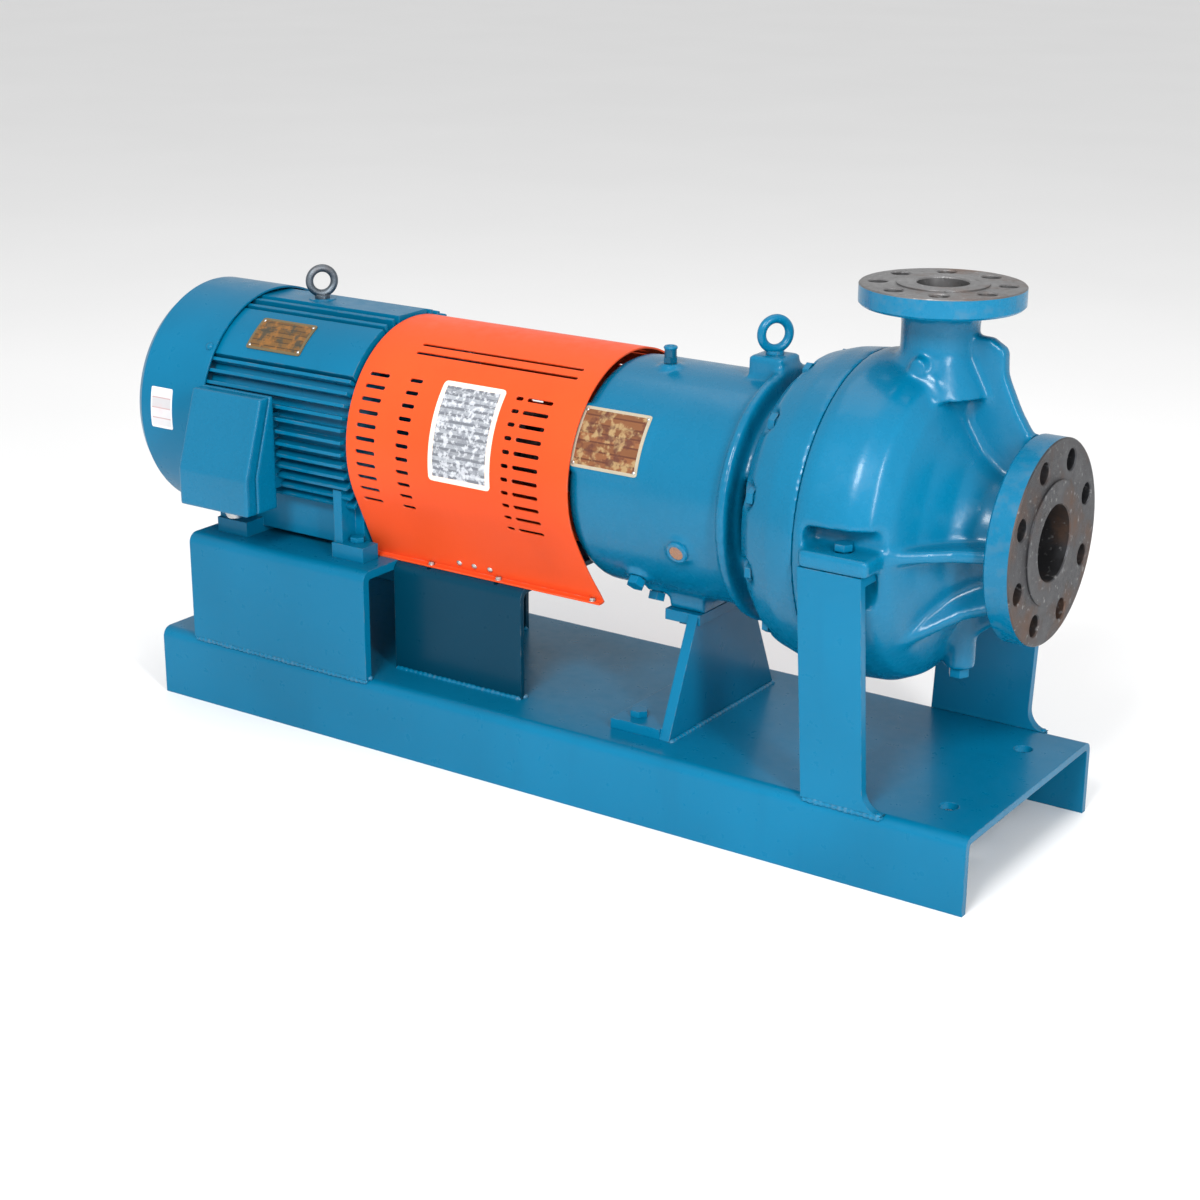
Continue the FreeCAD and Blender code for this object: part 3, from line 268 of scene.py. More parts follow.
def printed(name, field, line, border, rows, edge, metallic, roughness, blotches=()):
    """A plate or label with a border and blank fields ruled across it, and no lettering."""
    g = Graph(name)
    uv = g.add("ShaderNodeTexCoord").outputs["UV"]
    split = g.add("ShaderNodeSeparateXYZ")
    g.feed(split.inputs[0], uv)
    bricks = g.add("ShaderNodeTexBrick", offset=0.0, squash=1.0)
    g.feed(bricks.inputs["Vector"], uv)
    g.feed(bricks.inputs["Color1"], shade(field, 1.0))
    g.feed(bricks.inputs["Color2"], shade(field, 0.72))
    g.feed(bricks.inputs["Mortar"], line + (1.0,))
    bricks.inputs["Scale"].default_value = 1.0
    bricks.inputs["Mortar Size"].default_value = 0.014
    bricks.inputs["Brick Width"].default_value = 1.0
    bricks.inputs["Row Height"].default_value = 1.0 / rows
    inside = 1.0
    for axis, margin in ((0, edge[0]), (1, edge[1])):
        near = g.math("GREATER_THAN", split.outputs[axis], margin)
        far = g.math("LESS_THAN", split.outputs[axis], 1.0 - margin)
        inside = g.math("MULTIPLY", inside, g.math("MULTIPLY", near, far))
    wear = g.noise(60.0, 4.0, 0.65)
    base = bricks.outputs["Color"]
    for scale, colour, share in blotches:
        patch = g.noise(scale, 3.0, 0.6)
        base = g.mix(g.spread(patch, 0.5, 0.6, 0.0, share), base, colour + (1.0,))
    base = g.mix(inside, border + (1.0,), base)
    base = g.mix(g.spread(wear, 0.55, 0.75, 0.0, 0.3), base, shade(line, 1.3))
    g.bump(g.math("MULTIPLY", inside, -1.0), 0.15 * MM, 0.5)
    g.bump(wear, 0.06 * MM, 0.3)
    return g.finish(base, g.spread(wear, 0.3, 0.7, roughness, roughness + 0.2), metallic)


BLUE = (0.0, 0.128, 0.247)
ORANGE = (0.70, 0.074, 0.017)

cast_blue = paint("cast_blue", BLUE, cast=True, gloss=0.26, top_shade=0.3, shine=0.24)
sheet_blue = paint("sheet_blue", BLUE, cast=False, top_shade=0.2, shine=0.15)
# Painted shade: a much darker copy of the blue, for the guard support that stands in the guard's
# shadow.
painted_shade_blue = paint("painted_shade_blue", tuple(0.28 * channel for channel in BLUE), cast=False, shine=0.1)
sheet_orange = paint("sheet_orange", ORANGE, cast=False, gloss=0.38,
                     chip=(0.35, 0.2, 0.15), shine=0.1)
steel = metal("bright_steel", (0.58, 0.58, 0.57), 0.3, tint_share=0.15)
zinc = metal("zinc_plate", (0.52, 0.53, 0.52), 0.34, (0.3, 0.27, 0.2), 0.3)
dull_steel = metal("dull_steel", (0.14, 0.165, 0.19), 0.42, tint_share=0.2)
ground_steel = metal("ground_steel", (0.7, 0.7, 0.72), 0.16, tint_share=0.04, grain=900.0)
iron = metal("grey_iron", (0.2, 0.2, 0.21), 0.5, tint_share=0.35, grain=120.0)
laminations = metal("laminations", (0.33, 0.33, 0.34), 0.42, tint_share=0.1, grain=700.0)
suction_metal = machined_face("suction_face", (0.062, 0.063, 0.068), 0, (0, 0, SHAFT))
discharge_metal = machined_face("discharge_face", (0.18, 0.178, 0.18), 2, (DISCHARGE_X, 0, 0))
rubber = plain("rubber", (0.025, 0.025, 0.025), 0.6, 500.0)
fan_plastic = plain("fan_plastic", (0.03, 0.032, 0.035), 0.42, 700.0)
copper = plain("varnished_copper", (0.42, 0.16, 0.06), 0.32, 260.0, 0.7, 0.4)
gasket_fibre = plain("gasket_fibre", (0.19, 0.17, 0.14), 0.8, 400.0)
brown_plate = printed("brown_plate", (0.26, 0.10, 0.04), (0.12, 0.04, 0.02), (0.45, 0.40, 0.30),
                      7, (0.045, 0.05), 0.4, 0.32,
                      ((85.0, (0.44, 0.30, 0.14), 0.8), (60.0, (0.10, 0.03, 0.02), 0.85)))
dark_plate = printed("dark_plate", (0.20, 0.10, 0.03), (0.07, 0.04, 0.02), (0.16, 0.12, 0.06),
                     7, (0.04, 0.07), 0.4, 0.36,
                     ((90.0, (0.30, 0.13, 0.03), 0.8), (60.0, (0.04, 0.05, 0.04), 0.8)))
grey_label = printed("grey_label", (0.33, 0.35, 0.38), (0.13, 0.14, 0.16), (0.90, 0.68, 0.55),
                     15, (0.07, 0.05), 0.0, 0.38,
                     ((210.0, (0.14, 0.15, 0.18), 0.6), (170.0, (0.66, 0.68, 0.72), 0.6)))
white_label = printed("white_label", (0.62, 0.61, 0.63), (0.45, 0.30, 0.30), (0.72, 0.71, 0.72),
                      4, (0.06, 0.06), 0.0, 0.4)


def sight_window():
    g = Graph("sight_window")
    g.bump(g.noise(120.0, 1.0), 0.05 * MM, 0.2)
    return g.finish((0.42, 0.16, 0.05, 1.0), g.spread(g.noise(50.0), 0.3, 0.7, 0.04, 0.12),
                    Transmission_Weight=0.5, Coat_Weight=1.0)


CAD_FINISHES = {
    cast_blue: ("motor_front_bell", "motor_rear_bell", "casing_cover", "bearing_end_cover",
                "frame_eyebolt", "breather_cap"),
    # The guard support is painted darker, as painted shade.
    painted_shade_blue: ("guard_support",),
    sheet_blue: ("baseplate", "motor_pedestal", "casing_leg_front",
                 "casing_leg_rear", "frame_foot", "fan_cover", "motor_frame", "casing_bolts",
                 "casing_foot_bolts", "motor_foot_bolts", "frame_foot_bolts",
                 "motor_bell_bolts", "casing_drain_plug", "oil_plugs"),
    steel: ("motor_shaft", "pump_shaft", "motor_key", "pump_key", "bearing_locknut",
            "shaft_sleeve", "seal_rotary_head", "seal_gland", "impeller_nut"),
    zinc: ("gland_studs", "end_cover_bolts", "conduit_plug"),
    dull_steel: ("motor_eyebolt",),
    ground_steel: ("motor_bearing_outer_rings", "motor_bearing_inner_rings",
                   "thrust_bearing_outer", "thrust_bearing_inner", "radial_bearing_outer",
                   "radial_bearing_inner"),
    iron: ("impeller", "wear_ring", "motor_hub", "pump_hub"),
    laminations: ("motor_rotor_core", "stator_core"),
    copper: ("stator_windings",),
    fan_plastic: ("motor_fan",),
    rubber: ("coupling_spider", "oil_seals"),
    gasket_fibre: ("casing_gasket",),
    sight_window(): ("sight_glass",),
}
for finish, names in CAD_FINISHES.items():
    for name in names:
        NODES[name].material_slots[0].material = finish


# ---- Mesh helpers ---------------------------------------------------------------------------

def piece(name, mesh_or_bmesh, material, body=SET, replaced=(), smooth=35.0):
    """Puts a mesh in the scene, riding on a body."""
    if isinstance(mesh_or_bmesh, bmesh.types.BMesh):
        mesh = bpy.data.meshes.new(name)
        bmesh.ops.recalc_face_normals(mesh_or_bmesh, faces=mesh_or_bmesh.faces)
        mesh_or_bmesh.to_mesh(mesh)
        mesh_or_bmesh.free()
    else:
        mesh = mesh_or_bmesh
    mesh.name = name
    item = bpy.data.objects.new(name, mesh)
    bpy.context.scene.collection.objects.link(item)
    if material is not None:
        mesh.materials.clear()
        mesh.materials.append(material)
    mesh.shade_smooth()
    mesh.set_sharp_from_angle(angle=math.radians(smooth))
    if body:
        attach(item, body)
    if replaced:
        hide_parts(*replaced)
    return item


def bake(item):
    """Applies an object's modifiers to its mesh."""
    graph = bpy.context.evaluated_depsgraph_get()
    graph.update()
    mesh = bpy.data.meshes.new_from_object(item.evaluated_get(graph))
    item.modifiers.clear()
    old = item.data
    item.data = mesh
    bpy.data.meshes.remove(old)


def combine(item, tool, operation):
    """Joins tool to item, or cuts it away, and uses the tool up."""
    modifier = item.modifiers.new("Combine", "BOOLEAN")
    modifier.object = tool
    modifier.operation = operation
    modifier.solver = "MANIFOLD"
    bake(item)
    mesh = tool.data
    bpy.data.objects.remove(tool)
    bpy.data.meshes.remove(mesh)


def lathe(profile, axis=0, centre=(0, 0, 0), segments=96):
    """A closed outline of (along, radius) points turned about an axis through centre."""
    bm = bmesh.new()
    first = (axis + 1) % 3
    second = (axis + 2) % 3
    rings = []
    for i in range(segments):
        angle = math.tau * i / segments
        ring = []
        for along, radius in profile:
            at = Vector(centre)
            at[axis] += along
            at[first] += radius * math.cos(angle)
            at[second] += radius * math.sin(angle)
            ring.append(bm.verts.new(at))
        rings.append(ring)
    for i, ring in enumerate(rings):
        other = rings[(i + 1) % segments]
        for j in range(len(ring)):
            k = (j + 1) % len(ring)
            bm.faces.new((ring[j], ring[k], other[k], other[j]))
    bmesh.ops.remove_doubles(bm, verts=[v for ring in rings for v in ring], dist=1e-6)
    return bm


def rounded_cast(name, node, voxel, rounds, keep=None):
    """A copy of a CAD node with its edges and corners rounded like a casting's."""
    item = piece(name, NODES[node].data.copy(), None, body=None)
    remesh = item.modifiers.new("Voxels", "REMESH")
    remesh.mode = "VOXEL"
    remesh.voxel_size = voxel
    bake(item)
    mesh = item.data
    count = len(mesh.vertices)
    places = np.empty(count * 3)
    mesh.vertices.foreach_get("co", places)
    places = places.reshape(-1, 3)
    edges = np.empty(len(mesh.edges) * 2, dtype=np.int64)
    mesh.edges.foreach_get("vertices", edges)
    starts, ends = edges.reshape(-1, 2).T
    neighbours = np.bincount(starts, minlength=count) + np.bincount(ends, minlength=count)
    share = np.full(count, 0.5) if keep is None else 0.5 * (1.0 - keep(places))
    for _ in range(rounds):
        total = np.empty_like(places)
        for axis in range(3):
            column = places[:, axis]
            total[:, axis] = np.bincount(starts, column[ends], count)
            total[:, axis] += np.bincount(ends, column[starts], count)
        mean = total / np.maximum(neighbours, 1)[:, None]
        places += (mean - places) * share[:, None]
    mesh.vertices.foreach_set("co", places.ravel())
    mesh.update()
    return item


def settle(item, material, slot, *nodes, sharp=40):
    """Gives a finished mesh its material and body, and hides the CAD nodes that it stands for."""
    item.data.materials.clear()
    item.data.materials.append(material)
    item.data.shade_smooth()
    item.data.set_sharp_from_angle(angle=math.radians(sharp))
    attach(item, SET)
    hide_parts(*nodes)


def face_material(item, material, chosen):
    """Gives a second material to the faces whose centre and normal are chosen."""
    mesh = item.data
    mesh.materials.append(material)
    index = len(mesh.materials) - 1
    centres = np.empty(len(mesh.polygons) * 3)
    normals = np.empty(len(mesh.polygons) * 3)
    mesh.polygons.foreach_get("center", centres)
    mesh.polygons.foreach_get("normal", normals)
    picked = chosen(centres.reshape(-1, 3), normals.reshape(-1, 3))
    indices = np.empty(len(mesh.polygons), dtype=np.int32)
    mesh.polygons.foreach_get("material_index", indices)
    indices[picked] = index
    mesh.polygons.foreach_set("material_index", indices)


# ---- Castings -------------------------------------------------------------------------------

def flange(name, outside, bore, raised, thick, circle, hole, count, face, axis, centre):
    """A crisp machined flange with its raised face, chamfers and bolt holes."""
    step = 1.6 * MM
    edge = 1.2 * MM
    back = face - thick
    outline = [(back, bore), (back, outside - 2 * edge), (back + 2 * edge, outside),
               (face - step - edge, outside), (face - step, outside - edge),
               (face - step, raised), (face - edge / 3, raised), (face, raised - edge / 3),
               (face, bore + edge), (face - edge, bore)]
    item = piece(name, lathe(outline, axis, centre, 160), None, body=None)
    first = (axis + 1) % 3
    second = (axis + 2) % 3
    for i in range(count):
        angle = math.tau * (i + 0.5) / count
        at = Vector(centre)
        at[first] += circle * math.cos(angle)
        at[second] += circle * math.sin(angle)
        low = back - 2 * MM
        high = face + 2 * MM
        drill = [(low, 0), (low, hole), (face - step - edge, hole),
                 (face - step + edge, hole + 2 * edge), (high, hole + 2 * edge), (high, 0)]
        combine(item, piece("drill", lathe(drill, axis, at, 32), None, body=None), "DIFFERENCE")
    return item


def flange_sizes(mount, outside, bore, raised, thick):
    """A flange's sizes in metres: its own from millimetres, and the bolts' from its mount."""
    dims = MOUNTS[mount]["dims"]
    return dict(outside=outside * MM, bore=bore * MM, raised=raised * MM, thick=thick * MM,
                circle=dims["pcd_mm"] / 2 * MM, hole=dims["hole_r_mm"] * MM, count=dims["count"])


def refit_flanges(item, refits):
    """Trims a casting's rounded flanges off, out to a clear radius, and joins crisp ones on."""
    for sizes, place, clear in refits:
        back = place["face"] - sizes["thick"] + 0.5 * MM
        beyond = place["face"] + 12 * MM
        trim = lathe([(back, 0), (back, clear), (beyond, clear), (beyond, 0)],
                     place["axis"], place["centre"], 48)
        combine(item, piece("trim", trim, None, body=None), "DIFFERENCE")
    for sizes, place, clear in refits:
        combine(item, flange("rim", **place, **sizes), "UNION")


def bare_metal(sizes, face, axis, centre, lip, facing, hole_depth, bore_depth):
    """Picks the unpainted faces of a flange: its front, its bolt holes and its bore."""
    def chosen(centres, normals):
        away = centres - np.array(centre)
        away[:, axis] = 0.0
        radius = np.linalg.norm(away, axis=1)
        depth = face - centres[:, axis]
        front = (depth < lip) & (normals[:, axis] > facing)
        holes = (depth < hole_depth) & (radius < sizes["outside"] - 8 * MM)
        bore = (depth < bore_depth) & (radius < sizes["bore"] + 2 * MM)
        return front | holes | bore
    return chosen


def build_casing():
    def keep(places):
        """Holds the parting flange nearly still while the rest is smoothed."""
        return (places[:, 0] < CASING_LOW.x + 17 * MM) * 0.8

    suction = flange_sizes("suction_bolts", outside=104.8, bore=39, raised=63.5, thick=28.8)
    discharge = flange_sizes("discharge_bolts", outside=82.55, bore=26, raised=46.05, thick=22.5)
    suction_place = dict(face=SUCTION_FACE, axis=0, centre=(0, 0, SHAFT))
    discharge_place = dict(face=DISCHARGE_FACE, axis=2, centre=(DISCHARGE_X, 0, 0))
    item = rounded_cast("casing_cast", "casing", voxel=2.6 * MM, rounds=9, keep=keep)
    refit_flanges(item, ((suction, suction_place, 118 * MM),
                         (discharge, discharge_place, 100 * MM)))
    settle(item, cast_blue, "blue_paint", "casing")
    face_material(item, suction_metal, bare_metal(
        suction, lip=5 * MM, facing=0.2, hole_depth=27 * MM, bore_depth=90 * MM,
        **suction_place))
    face_material(item, discharge_metal, bare_metal(
        discharge, lip=4 * MM, facing=0.3, hole_depth=21 * MM, bore_depth=60 * MM,
        **discharge_place))


def build_smaller_castings():
    for node, voxel, rounds in (("bearing_frame", 3.15 * MM, 3), ("conduit_box", 1.5 * MM, 6),
                                ("conduit_cover", 1.5 * MM, 9)):
        settle(rounded_cast(node + "_cast", node, voxel, rounds), cast_blue, "blue_paint", node)


# ---- Small heads ----------------------------------------------------------------------------

def place_head(bm, head, at, direction):
    """Adds a head made along Z to bm, turned to a direction, and uses the head up."""
    turn = Vector(direction).normalized().to_track_quat("Z", "Y").to_matrix().to_4x4()
    bmesh.ops.transform(head, matrix=Matrix.Translation(at) @ turn, verts=head.verts)
    mesh = bpy.data.meshes.new("head")
    head.to_mesh(mesh)
    head.free()
    bm.from_mesh(mesh)
    bpy.data.meshes.remove(mesh)


def washer(bm, at, direction, radius, thick):
    profile = [(0, 0), (0, radius), (thick * 0.8, radius), (thick, radius * 0.94), (thick, 0)]
    place_head(bm, lathe(profile, 2, segments=28), at, direction)


def hex_head(bm, at, direction, radius, high):
    """A six-sided head with its corners turned off at the top."""
    head = bmesh.new()
    rings = []
    for up, share in ((0.0, 1.0), (0.82 * high, 1.0), (high, 0.9)):
        ring = []
        for k in range(12):
            angle = math.tau * k / 12
            corner = 1.0 if k % 2 == 0 else math.cos(math.pi / 6)
            reach = radius * min(corner, share)
            ring.append(head.verts.new((reach * math.cos(angle), reach * math.sin(angle), up)))
        rings.append(ring)
    for ring, other in zip(rings, rings[1:]):
        for k in range(12):
            m = (k + 1) % 12
            head.faces.new((ring[k], ring[m], other[m], other[k]))
    head.faces.new(rings[0])
    head.faces.new(rings[-1])
    place_head(bm, head, at, direction)


def button(bm, at, direction, radius, high):
    """A domed head on a surface."""
    profile = [(-0.3 * high, 0), (-0.3 * high, radius), (0.25 * high, radius),
               (0.7 * high, 0.78 * radius), (0.95 * high, 0.4 * radius), (high, 0)]
    place_head(bm, lathe(profile, 2, segments=20), at, direction)


# ---- The coupling guard ---------------------------------------------------------------------

GUARD_LOW, GUARD_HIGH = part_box("coupling_guard")
GUARD_RADIUS = GUARD_HIGH.z - SHAFT
GUARD_SHEET = 2 * MM
GUARD_FOOT = GUARD_LOW.z + GUARD_SHEET
GUARD_TILT = -24.9  # where the round top meets the straight sides, in degrees
GUARD_TOUCH = on_barrel(0, GUARD_RADIUS, GUARD_TILT)
GUARD_SLOPE = math.tan(math.radians(-GUARD_TILT))
GUARD_SIDE = GUARD_TOUCH.y + GUARD_SLOPE * (GUARD_TOUCH.z - GUARD_FOOT)
GUARD_FLARE = 16 * MM
VENT_ANGLES = [-26 + 6.6 * i for i in range(11)]
VENT_COLUMNS = ((13, 28), (70, 18), (215, 10), (230, 34))  # start and length, in millimetres
VENT_WIDTH = 4.6 * MM
TOP_SLOT_ANGLES = (56, 62, 118, 124)
TOP_SLOT_START = 58 * MM
TOP_SLOT_LENGTH = 219 * MM
TOP_SLOT_WIDTH = 4 * MM


def joined(parts):
    """One bmesh from several, which are used up."""
    whole = bmesh.new()
    for part in parts:
        mesh = bpy.data.meshes.new("part")
        part.to_mesh(mesh)
        part.free()
        whole.from_mesh(mesh)
        bpy.data.meshes.remove(mesh)
    return whole


def slot_cutter(low_x, high_x, degrees, width):
    """A round-ended slot's cutter, standing on the guard at one angle."""
    bm = bmesh.new()
    half = width / 2
    ends = 7
    outline = []
    for centre, start in ((high_x - half, -90), (low_x + half, 90)):
        for i in range(ends):
            turn = math.radians(start + 180 * i / (ends - 1))
            outline.append((centre + half * math.cos(turn), half * math.sin(turn)))
    rings = []
    for reach in (GUARD_RADIUS - 9 * MM, GUARD_RADIUS + 6 * MM):
        out = outwards(degrees)
        across = Vector((0, out.z, -out.y))
        rings.append([bm.verts.new(Vector((x, 0, SHAFT)) + out * reach + across * side)
                      for x, side in outline])
    count = len(outline)
    for k in range(count):
        m = (k + 1) % count
        bm.faces.new((rings[0][k], rings[0][m], rings[1][m], rings[1][k]))
    bm.faces.new(rings[0])
    bm.faces.new(rings[1])
    bmesh.ops.recalc_face_normals(bm, faces=bm.faces)
    return bm


def guard_path():
    """The guard's section from one foot's lip over the top to the other's, as (y, z) points."""
    lip = 9 * MM
    side = GUARD_SIDE
    foot = GUARD_FOOT
    path = [(side - lip, foot), (side - 3 * MM, foot), (side - 0.8 * MM, foot + 0.9 * MM)]
    path += [(side + (GUARD_TOUCH.y - side) * i / 8, foot + (GUARD_TOUCH.z - foot) * i / 8)
             for i in range(1, 8)]
    near_side = list(path)
    arc = 84
    for i in range(arc + 1):
        at = on_barrel(0, GUARD_RADIUS, GUARD_TILT + (180 - 2 * GUARD_TILT) * i / arc)
        path.append((at.y, at.z))
    return path + [(-y, z) for y, z in reversed(near_side)]


def rolled_sheet():
    """The section drawn out along the shaft, with its lower corners flared at the pump's end."""
    columns = 30
    left = GUARD_LOW.x
    bm = bmesh.new()
    rows = []
    for y, z in guard_path():
        drop = min(max((SHAFT - z) / (SHAFT - GUARD_FOOT), 0.0), 1.0)
        right = GUARD_HIGH.x + GUARD_FLARE * drop ** 3
        rows.append([bm.verts.new((left + (right - left) * k / columns, y, z))
                     for k in range(columns + 1)])
    for row, other in zip(rows, rows[1:]):
        for k in range(columns):
            bm.faces.new((row[k], row[k + 1], other[k + 1], other[k]))
    item = piece("guard_sheet", bm, None, body=None)
    solid = item.modifiers.new("Thickness", "SOLIDIFY")
    solid.thickness = GUARD_SHEET
    solid.offset = -1.0
    solid.use_even_offset = True
    bake(item)
    return item


def cut_vents(item):
    """Rows of short slots up both sides, and long slots along the top."""
    cutters = []
    for angle in VENT_ANGLES:
        for near, length in VENT_COLUMNS:
            for turned in (angle, 180 - angle):
                start = GUARD_LOW.x + near * MM
                cutters.append(slot_cutter(start, start + length * MM, turned, VENT_WIDTH))
    start = GUARD_LOW.x + TOP_SLOT_START
    for angle in TOP_SLOT_ANGLES:
        cutters.append(slot_cutter(start, start + TOP_SLOT_LENGTH, angle, TOP_SLOT_WIDTH))
    combine(item, piece("slots", joined(cutters), None, body=None), "DIFFERENCE")


def build_guard():
    """Rolled sheet: round over the top, sides closing in, narrow feet, and flared corners."""
    item = rolled_sheet()
    cut_vents(item)
    settle(item, sheet_orange, "orange_paint", "coupling_guard", "guard_bolts", sharp=30)


def build_guard_screws():
    """Hex screws with washers in the feet, and rivets in a row above them."""
    heads = bmesh.new()
    left = GUARD_LOW.x
    screw_places = (left + 85 * MM, left + 180 * MM, GUARD_HIGH.x + GUARD_FLARE - 12 * MM)
    rivet_places = (left + 125 * MM, left + 146 * MM, left + 168 * MM)
    washer_thick = 0.8 * MM
    rise = 9 * MM
    tilt = math.radians(GUARD_TILT)
    for side in (-1, 1):
        for x in screw_places:
            at = Vector((x, side * (abs(GUARD_SIDE) + 4.6 * MM), GUARD_FOOT))
            washer(heads, at, (0, 0, 1), 4.2 * MM, washer_thick)
            hex_head(heads, at + Vector((0, 0, washer_thick)), (0, 0, 1), 3.3 * MM, 2.6 * MM)
        for x in rivet_places:
            at = Vector((x, side * (abs(GUARD_SIDE) + rise * GUARD_SLOPE), GUARD_FOOT + rise))
            out = Vector((0, side * math.cos(tilt), math.sin(tilt)))
            button(heads, at, out, 3.6 * MM, 2 * MM)
    piece("guard_screws", heads, zinc)


# ---- Plates, labels and small fittings ------------------------------------------------------

def curved_plate(name, x_range, angle_range, radius, thick, corner, material, replaced=()):
    """A thin plate with round corners, bent round the shaft's axis, with UVs from 0 to 1."""
    steps = 28
    bm = bmesh.new()
    uv = bm.loops.layers.uv.new("UVMap")
    low_x, high_x = x_range
    width = high_x - low_x
    height = math.radians(angle_range[1] - angle_range[0]) * radius

    def bent(u, v, depth):
        """A point of the plate, its corners rounded, at a depth over the given radius."""
        s = u * width
        t = v * height
        near_s = min(max(s, corner), width - corner)
        near_t = min(max(t, corner), height - corner)
        away = Vector((s - near_s, t - near_t))
        if away.x and away.y:
            away *= max(abs(away.x), abs(away.y)) / away.length
        degrees = angle_range[0] + math.degrees((near_t + away.y) / radius)
        return on_barrel(low_x + near_s + away.x, radius + depth, degrees)

    grids = []
    for depth in (0.0, thick):
        grids.append([[bm.verts.new(bent(i / steps, j / steps, depth))
                       for j in range(steps + 1)] for i in range(steps + 1)])
    for grid in grids:
        for i in range(steps):
            for j in range(steps):
                corners = ((i, j), (i + 1, j), (i + 1, j + 1), (i, j + 1))
                face = bm.faces.new([grid[a][b] for a, b in corners])
                for loop, (a, b) in zip(face.loops, corners):
                    loop[uv].uv = (a / steps, b / steps)
    edge = ([(i, 0) for i in range(steps)] + [(steps, j) for j in range(steps)]
            + [(steps - i, steps) for i in range(steps)] + [(0, steps - j) for j in range(steps)])
    for (a, b), (c, d) in zip(edge, edge[1:] + edge[:1]):
        bm.faces.new((grids[0][a][b], grids[0][c][d], grids[1][c][d], grids[1][a][b]))
    piece(name, bm, material, replaced=replaced)


def build_labels():
    """Two etched nameplates with rivets, and stuck labels on the guard and the fan cover."""
    for node, material in (("frame_nameplate", brown_plate), ("motor_nameplate", dark_plate)):
        low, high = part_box(node)
        angles = sorted(math.degrees(math.atan2(z - SHAFT, -y))
                        for y, z in ((high.y, high.z), (low.y, low.z)))
        outer = math.hypot(high.y, high.z - SHAFT)
        thick = 1.4 * MM
        curved_plate(node + "_etched", (low.x, high.x), angles, outer - thick, thick, 3 * MM,
                     material, (node,))
        rivets = bmesh.new()
        for x in (low.x + 4 * MM, high.x - 4 * MM):
            for angle in (angles[0] + 2, angles[1] - 2):
                button(rivets, on_barrel(x, outer, angle), outwards(angle), 1.8 * MM, 0.9 * MM)
        piece(node + "_rivets", rivets, zinc)
    curved_plate("guard_label", x_range=(GUARD_LOW.x + 117 * MM, GUARD_LOW.x + 201 * MM),
                 angle_range=(-7, 43), radius=GUARD_RADIUS, thick=0.5 * MM, corner=5 * MM,
                 material=grey_label)
    low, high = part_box("fan_cover")
    curved_plate("cover_label", x_range=(low.x + 32 * MM, low.x + 66 * MM),
                 angle_range=(-6, 14), radius=high.z - SHAFT, thick=0.4 * MM, corner=2 * MM,
                 material=white_label)


def build_screws():
    """Domed heads round the fan cover and under the conduit cover."""
    heads = bmesh.new()
    cover_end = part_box("fan_cover")[1]
    for angle in (-30, 38, 142, 210):
        at = on_barrel(cover_end.x - 9 * MM, cover_end.z - SHAFT, angle)
        button(heads, at, outwards(angle), 5 * MM, 3 * MM)
    low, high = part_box("conduit_cover")
    for x in (low.x + 9 * MM, high.x - 9 * MM):
        button(heads, (x, low.y + 2.2 * MM, low.z + 9 * MM), (0, -1, 0), 4 * MM, 2 * MM)
    piece("cover_screws", heads, sheet_blue)


def build_sight_bezel():
    """A ring round the sight glass, square to the barrel."""
    spot = middle("sight_glass")
    out = Vector((0, spot.y, spot.z - SHAFT)).normalized()
    ring = lathe([(-3 * MM, 8.2 * MM), (-3 * MM, 12.5 * MM), (3 * MM, 12.5 * MM),
                  (4.5 * MM, 11 * MM), (4.5 * MM, 8.2 * MM)], 2, segments=48)
    turn = out.to_track_quat("Z", "Y").to_matrix().to_4x4()
    seat = spot + out * 3 * MM
    bmesh.ops.transform(ring, matrix=Matrix.Translation(seat) @ turn, verts=ring.verts)
    piece("sight_bezel", ring, cast_blue)


# ---- Welds ----------------------------------------------------------------------------------

def bead(bm, start, end, radius, seed=0.0):
    """A rippled fillet weld along a straight corner."""
    start = Vector(start)
    end = Vector(end)
    along = (end - start).normalized()
    side = along.orthogonal().normalized()
    up = along.cross(side)
    count = max(int((end - start).length / (1.6 * MM)), 4)
    rings = []
    for i in range(count + 1):
        ripple = 1 + 0.1 * math.sin(i * 1.45 + seed) + 0.07 * math.sin(i * 0.31 + 2 * seed)
        ends = min(i, count - i) / 3
        size = radius * ripple * min(1.0, 0.35 + ends)
        at = start.lerp(end, i / count)
        rings.append([bm.verts.new(at + (side * math.cos(t) + up * math.sin(t)) * size)
                      for t in (math.tau * k / 8 for k in range(8))])
    for ring, other in zip(rings, rings[1:]):
        for k in range(8):
            bm.faces.new((ring[k], ring[(k + 1) % 8], other[(k + 1) % 8], other[k]))
    bm.faces.new(rings[0])
    bm.faces.new(rings[-1])


def web_end(node, side):
    """Where a channel's web on one side ends along the deck."""
    return max(v.co.x for v in NODES[node].data.vertices
               if v.co.y * side > 0 and v.co.z < DECK + 1 * MM)


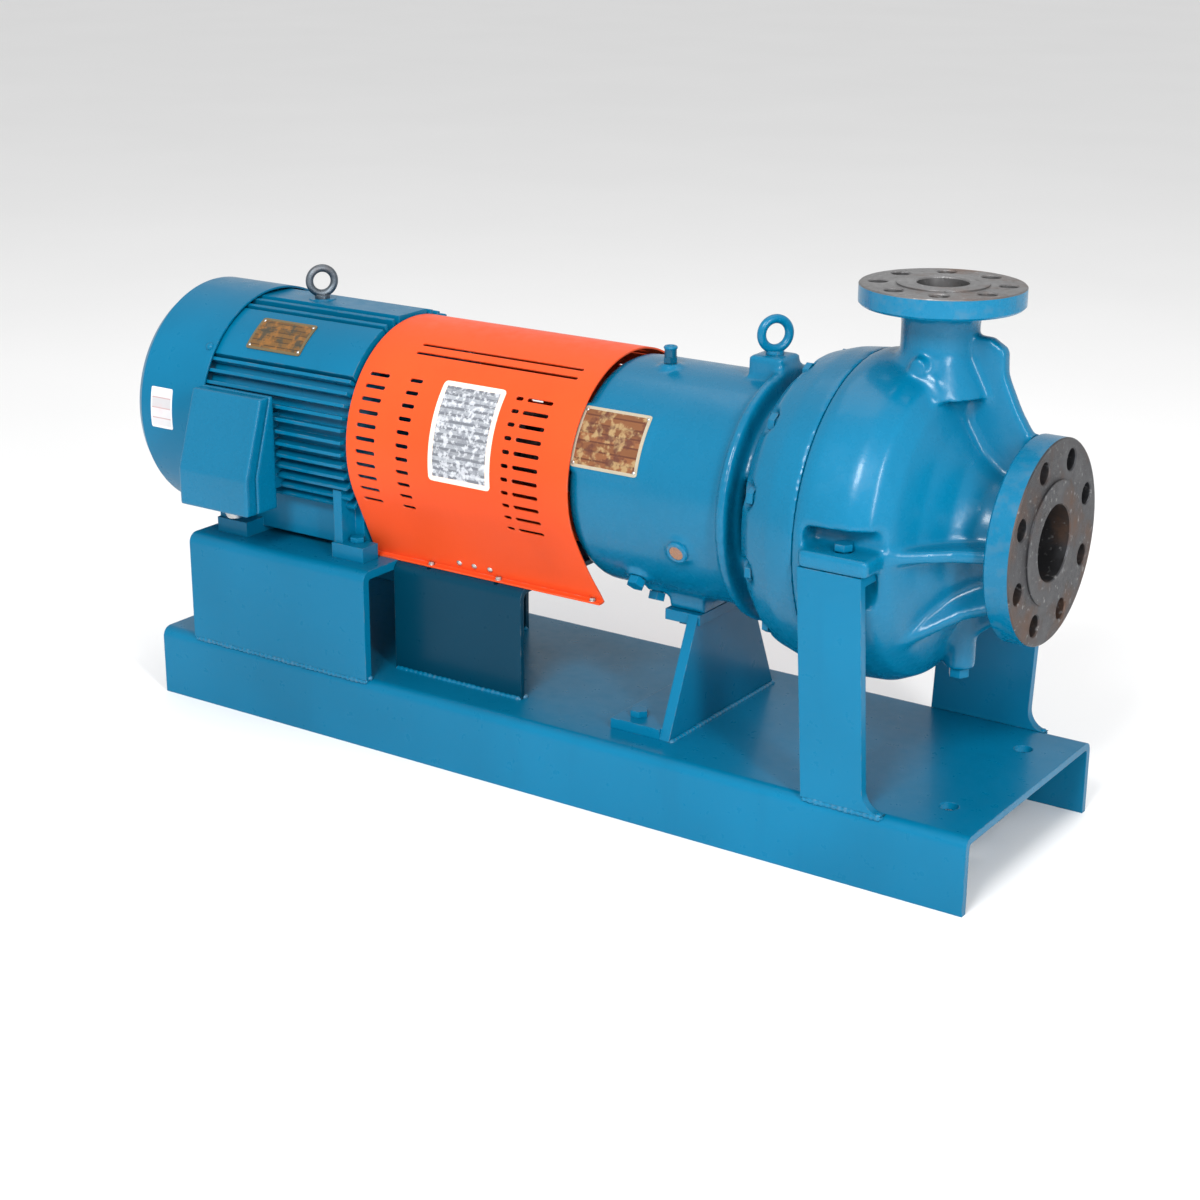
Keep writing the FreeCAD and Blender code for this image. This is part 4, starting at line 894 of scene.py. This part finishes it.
def build_welds():
    """Beads where the legs, pedestal, channel and foot stand on the base."""
    bm = bmesh.new()
    inset = 3.5 * MM
    edge_size = 4.2 * MM
    deck_size = 3.2 * MM
    end_size = 3 * MM
    for node, sides in (("casing_leg_front", (-1,)), ("casing_leg_rear", (1,)),
                        ("motor_pedestal", (-1, 1))):
        low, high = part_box(node)
        for side in sides:
            y = side * (DECK_EDGE - inset)
            bead(bm, (low.x, y, DECK - 2 * MM), (high.x, y, DECK - 2 * MM), edge_size, side)
    low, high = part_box("guard_support")
    for y in (low.y, high.y):
        bead(bm, (low.x, y, DECK), (web_end("guard_support", y), y, DECK), deck_size, y)
    low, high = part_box("frame_foot")
    bead(bm, (high.x, low.y, DECK), (high.x, high.y, DECK), deck_size, 1.0)
    for node in ("motor_pedestal", "guard_support"):
        low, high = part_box(node)
        for y in (low.y + 4 * MM, high.y - 4 * MM):
            for x in (low.x, web_end(node, y)):
                inner = y - math.copysign(8 * MM, y)
                bead(bm, (x, y, DECK + 1 * MM), (x, inner, DECK + 1 * MM), end_size, x)
    piece("welds", bm, cast_blue, smooth=60)


# ---- Stage, lights and camera ---------------------------------------------------------------

def build_stage():
    g = Graph("pale_floor")
    tone = g.noise(1.5, 2.0)
    floor_colour = g.mix(tone, (0.86, 0.86, 0.86, 1.0), (0.90, 0.90, 0.90, 1.0))
    material = g.finish(floor_colour, g.spread(tone, 0.0, 1.0, 0.6, 0.7))
    bm = bmesh.new()
    bmesh.ops.create_grid(bm, x_segments=4, y_segments=4, size=30.0)
    floor = piece("floor", bm, material, body=None)
    world = bpy.data.worlds.new("studio")
    world.use_nodes = True
    background = world.node_tree.nodes["Background"]
    background.inputs["Color"].default_value = (1.0, 1.0, 1.0, 1.0)
    background.inputs["Strength"].default_value = 0.76
    bpy.context.scene.world = world
    bpy.context.scene.view_settings.view_transform = "Standard"


def softbox(name, at, target, size, power):
    """A rectangular area light, its power in watts."""
    light = bpy.data.lights.new(name, "AREA")
    light.shape = "RECTANGLE"
    light.size, light.size_y = size
    light.energy = power
    item = bpy.data.objects.new(name, light)
    item.location = at
    item.rotation_euler = (Vector(target) - Vector(at)).to_track_quat("-Z", "Y").to_euler()
    bpy.context.scene.collection.objects.link(item)


def build_camera():
    """A long lens in front of the suction end, looking down at the near side."""
    azimuth = math.radians(34.056)
    elevation = math.radians(18.959)
    roll = math.radians(0.283)
    forward = Vector((-math.sin(azimuth) * math.cos(elevation),
                      math.cos(azimuth) * math.cos(elevation), -math.sin(elevation)))
    right = forward.cross(Vector((0, 0, 1))).normalized()
    up = right.cross(forward)
    pose = Matrix((right, up, -forward)).transposed() @ Matrix.Rotation(roll, 3, "Z")
    place = Vector((1.3719, -1.9965, 1.0087))
    data = bpy.data.cameras.new("camera")
    data.lens = 67.4
    data.sensor_width = 36.0
    camera = bpy.data.objects.new("camera", data)
    camera.matrix_world = Matrix.Translation(place) @ pose.to_4x4()
    bpy.context.scene.collection.objects.link(camera)
    bpy.context.scene.camera = camera


build_casing()
build_smaller_castings()
build_guard()
build_guard_screws()
build_labels()
build_screws()
build_sight_bezel()
build_welds()
build_stage()
softbox("key", at=(0.7, -2.8, 2.6), target=(0.1, 0, 0.35), size=(1.0, 0.9), power=102)
softbox("strip", at=(2.6, -1.6, 1.6), target=(0.2, 0, 0.35), size=(0.3, 1.8), power=58)
softbox("top", at=(-0.2, 0.6, 3.2), target=(0, 0, 0.3), size=(2.5, 2.0), power=22)
build_camera()
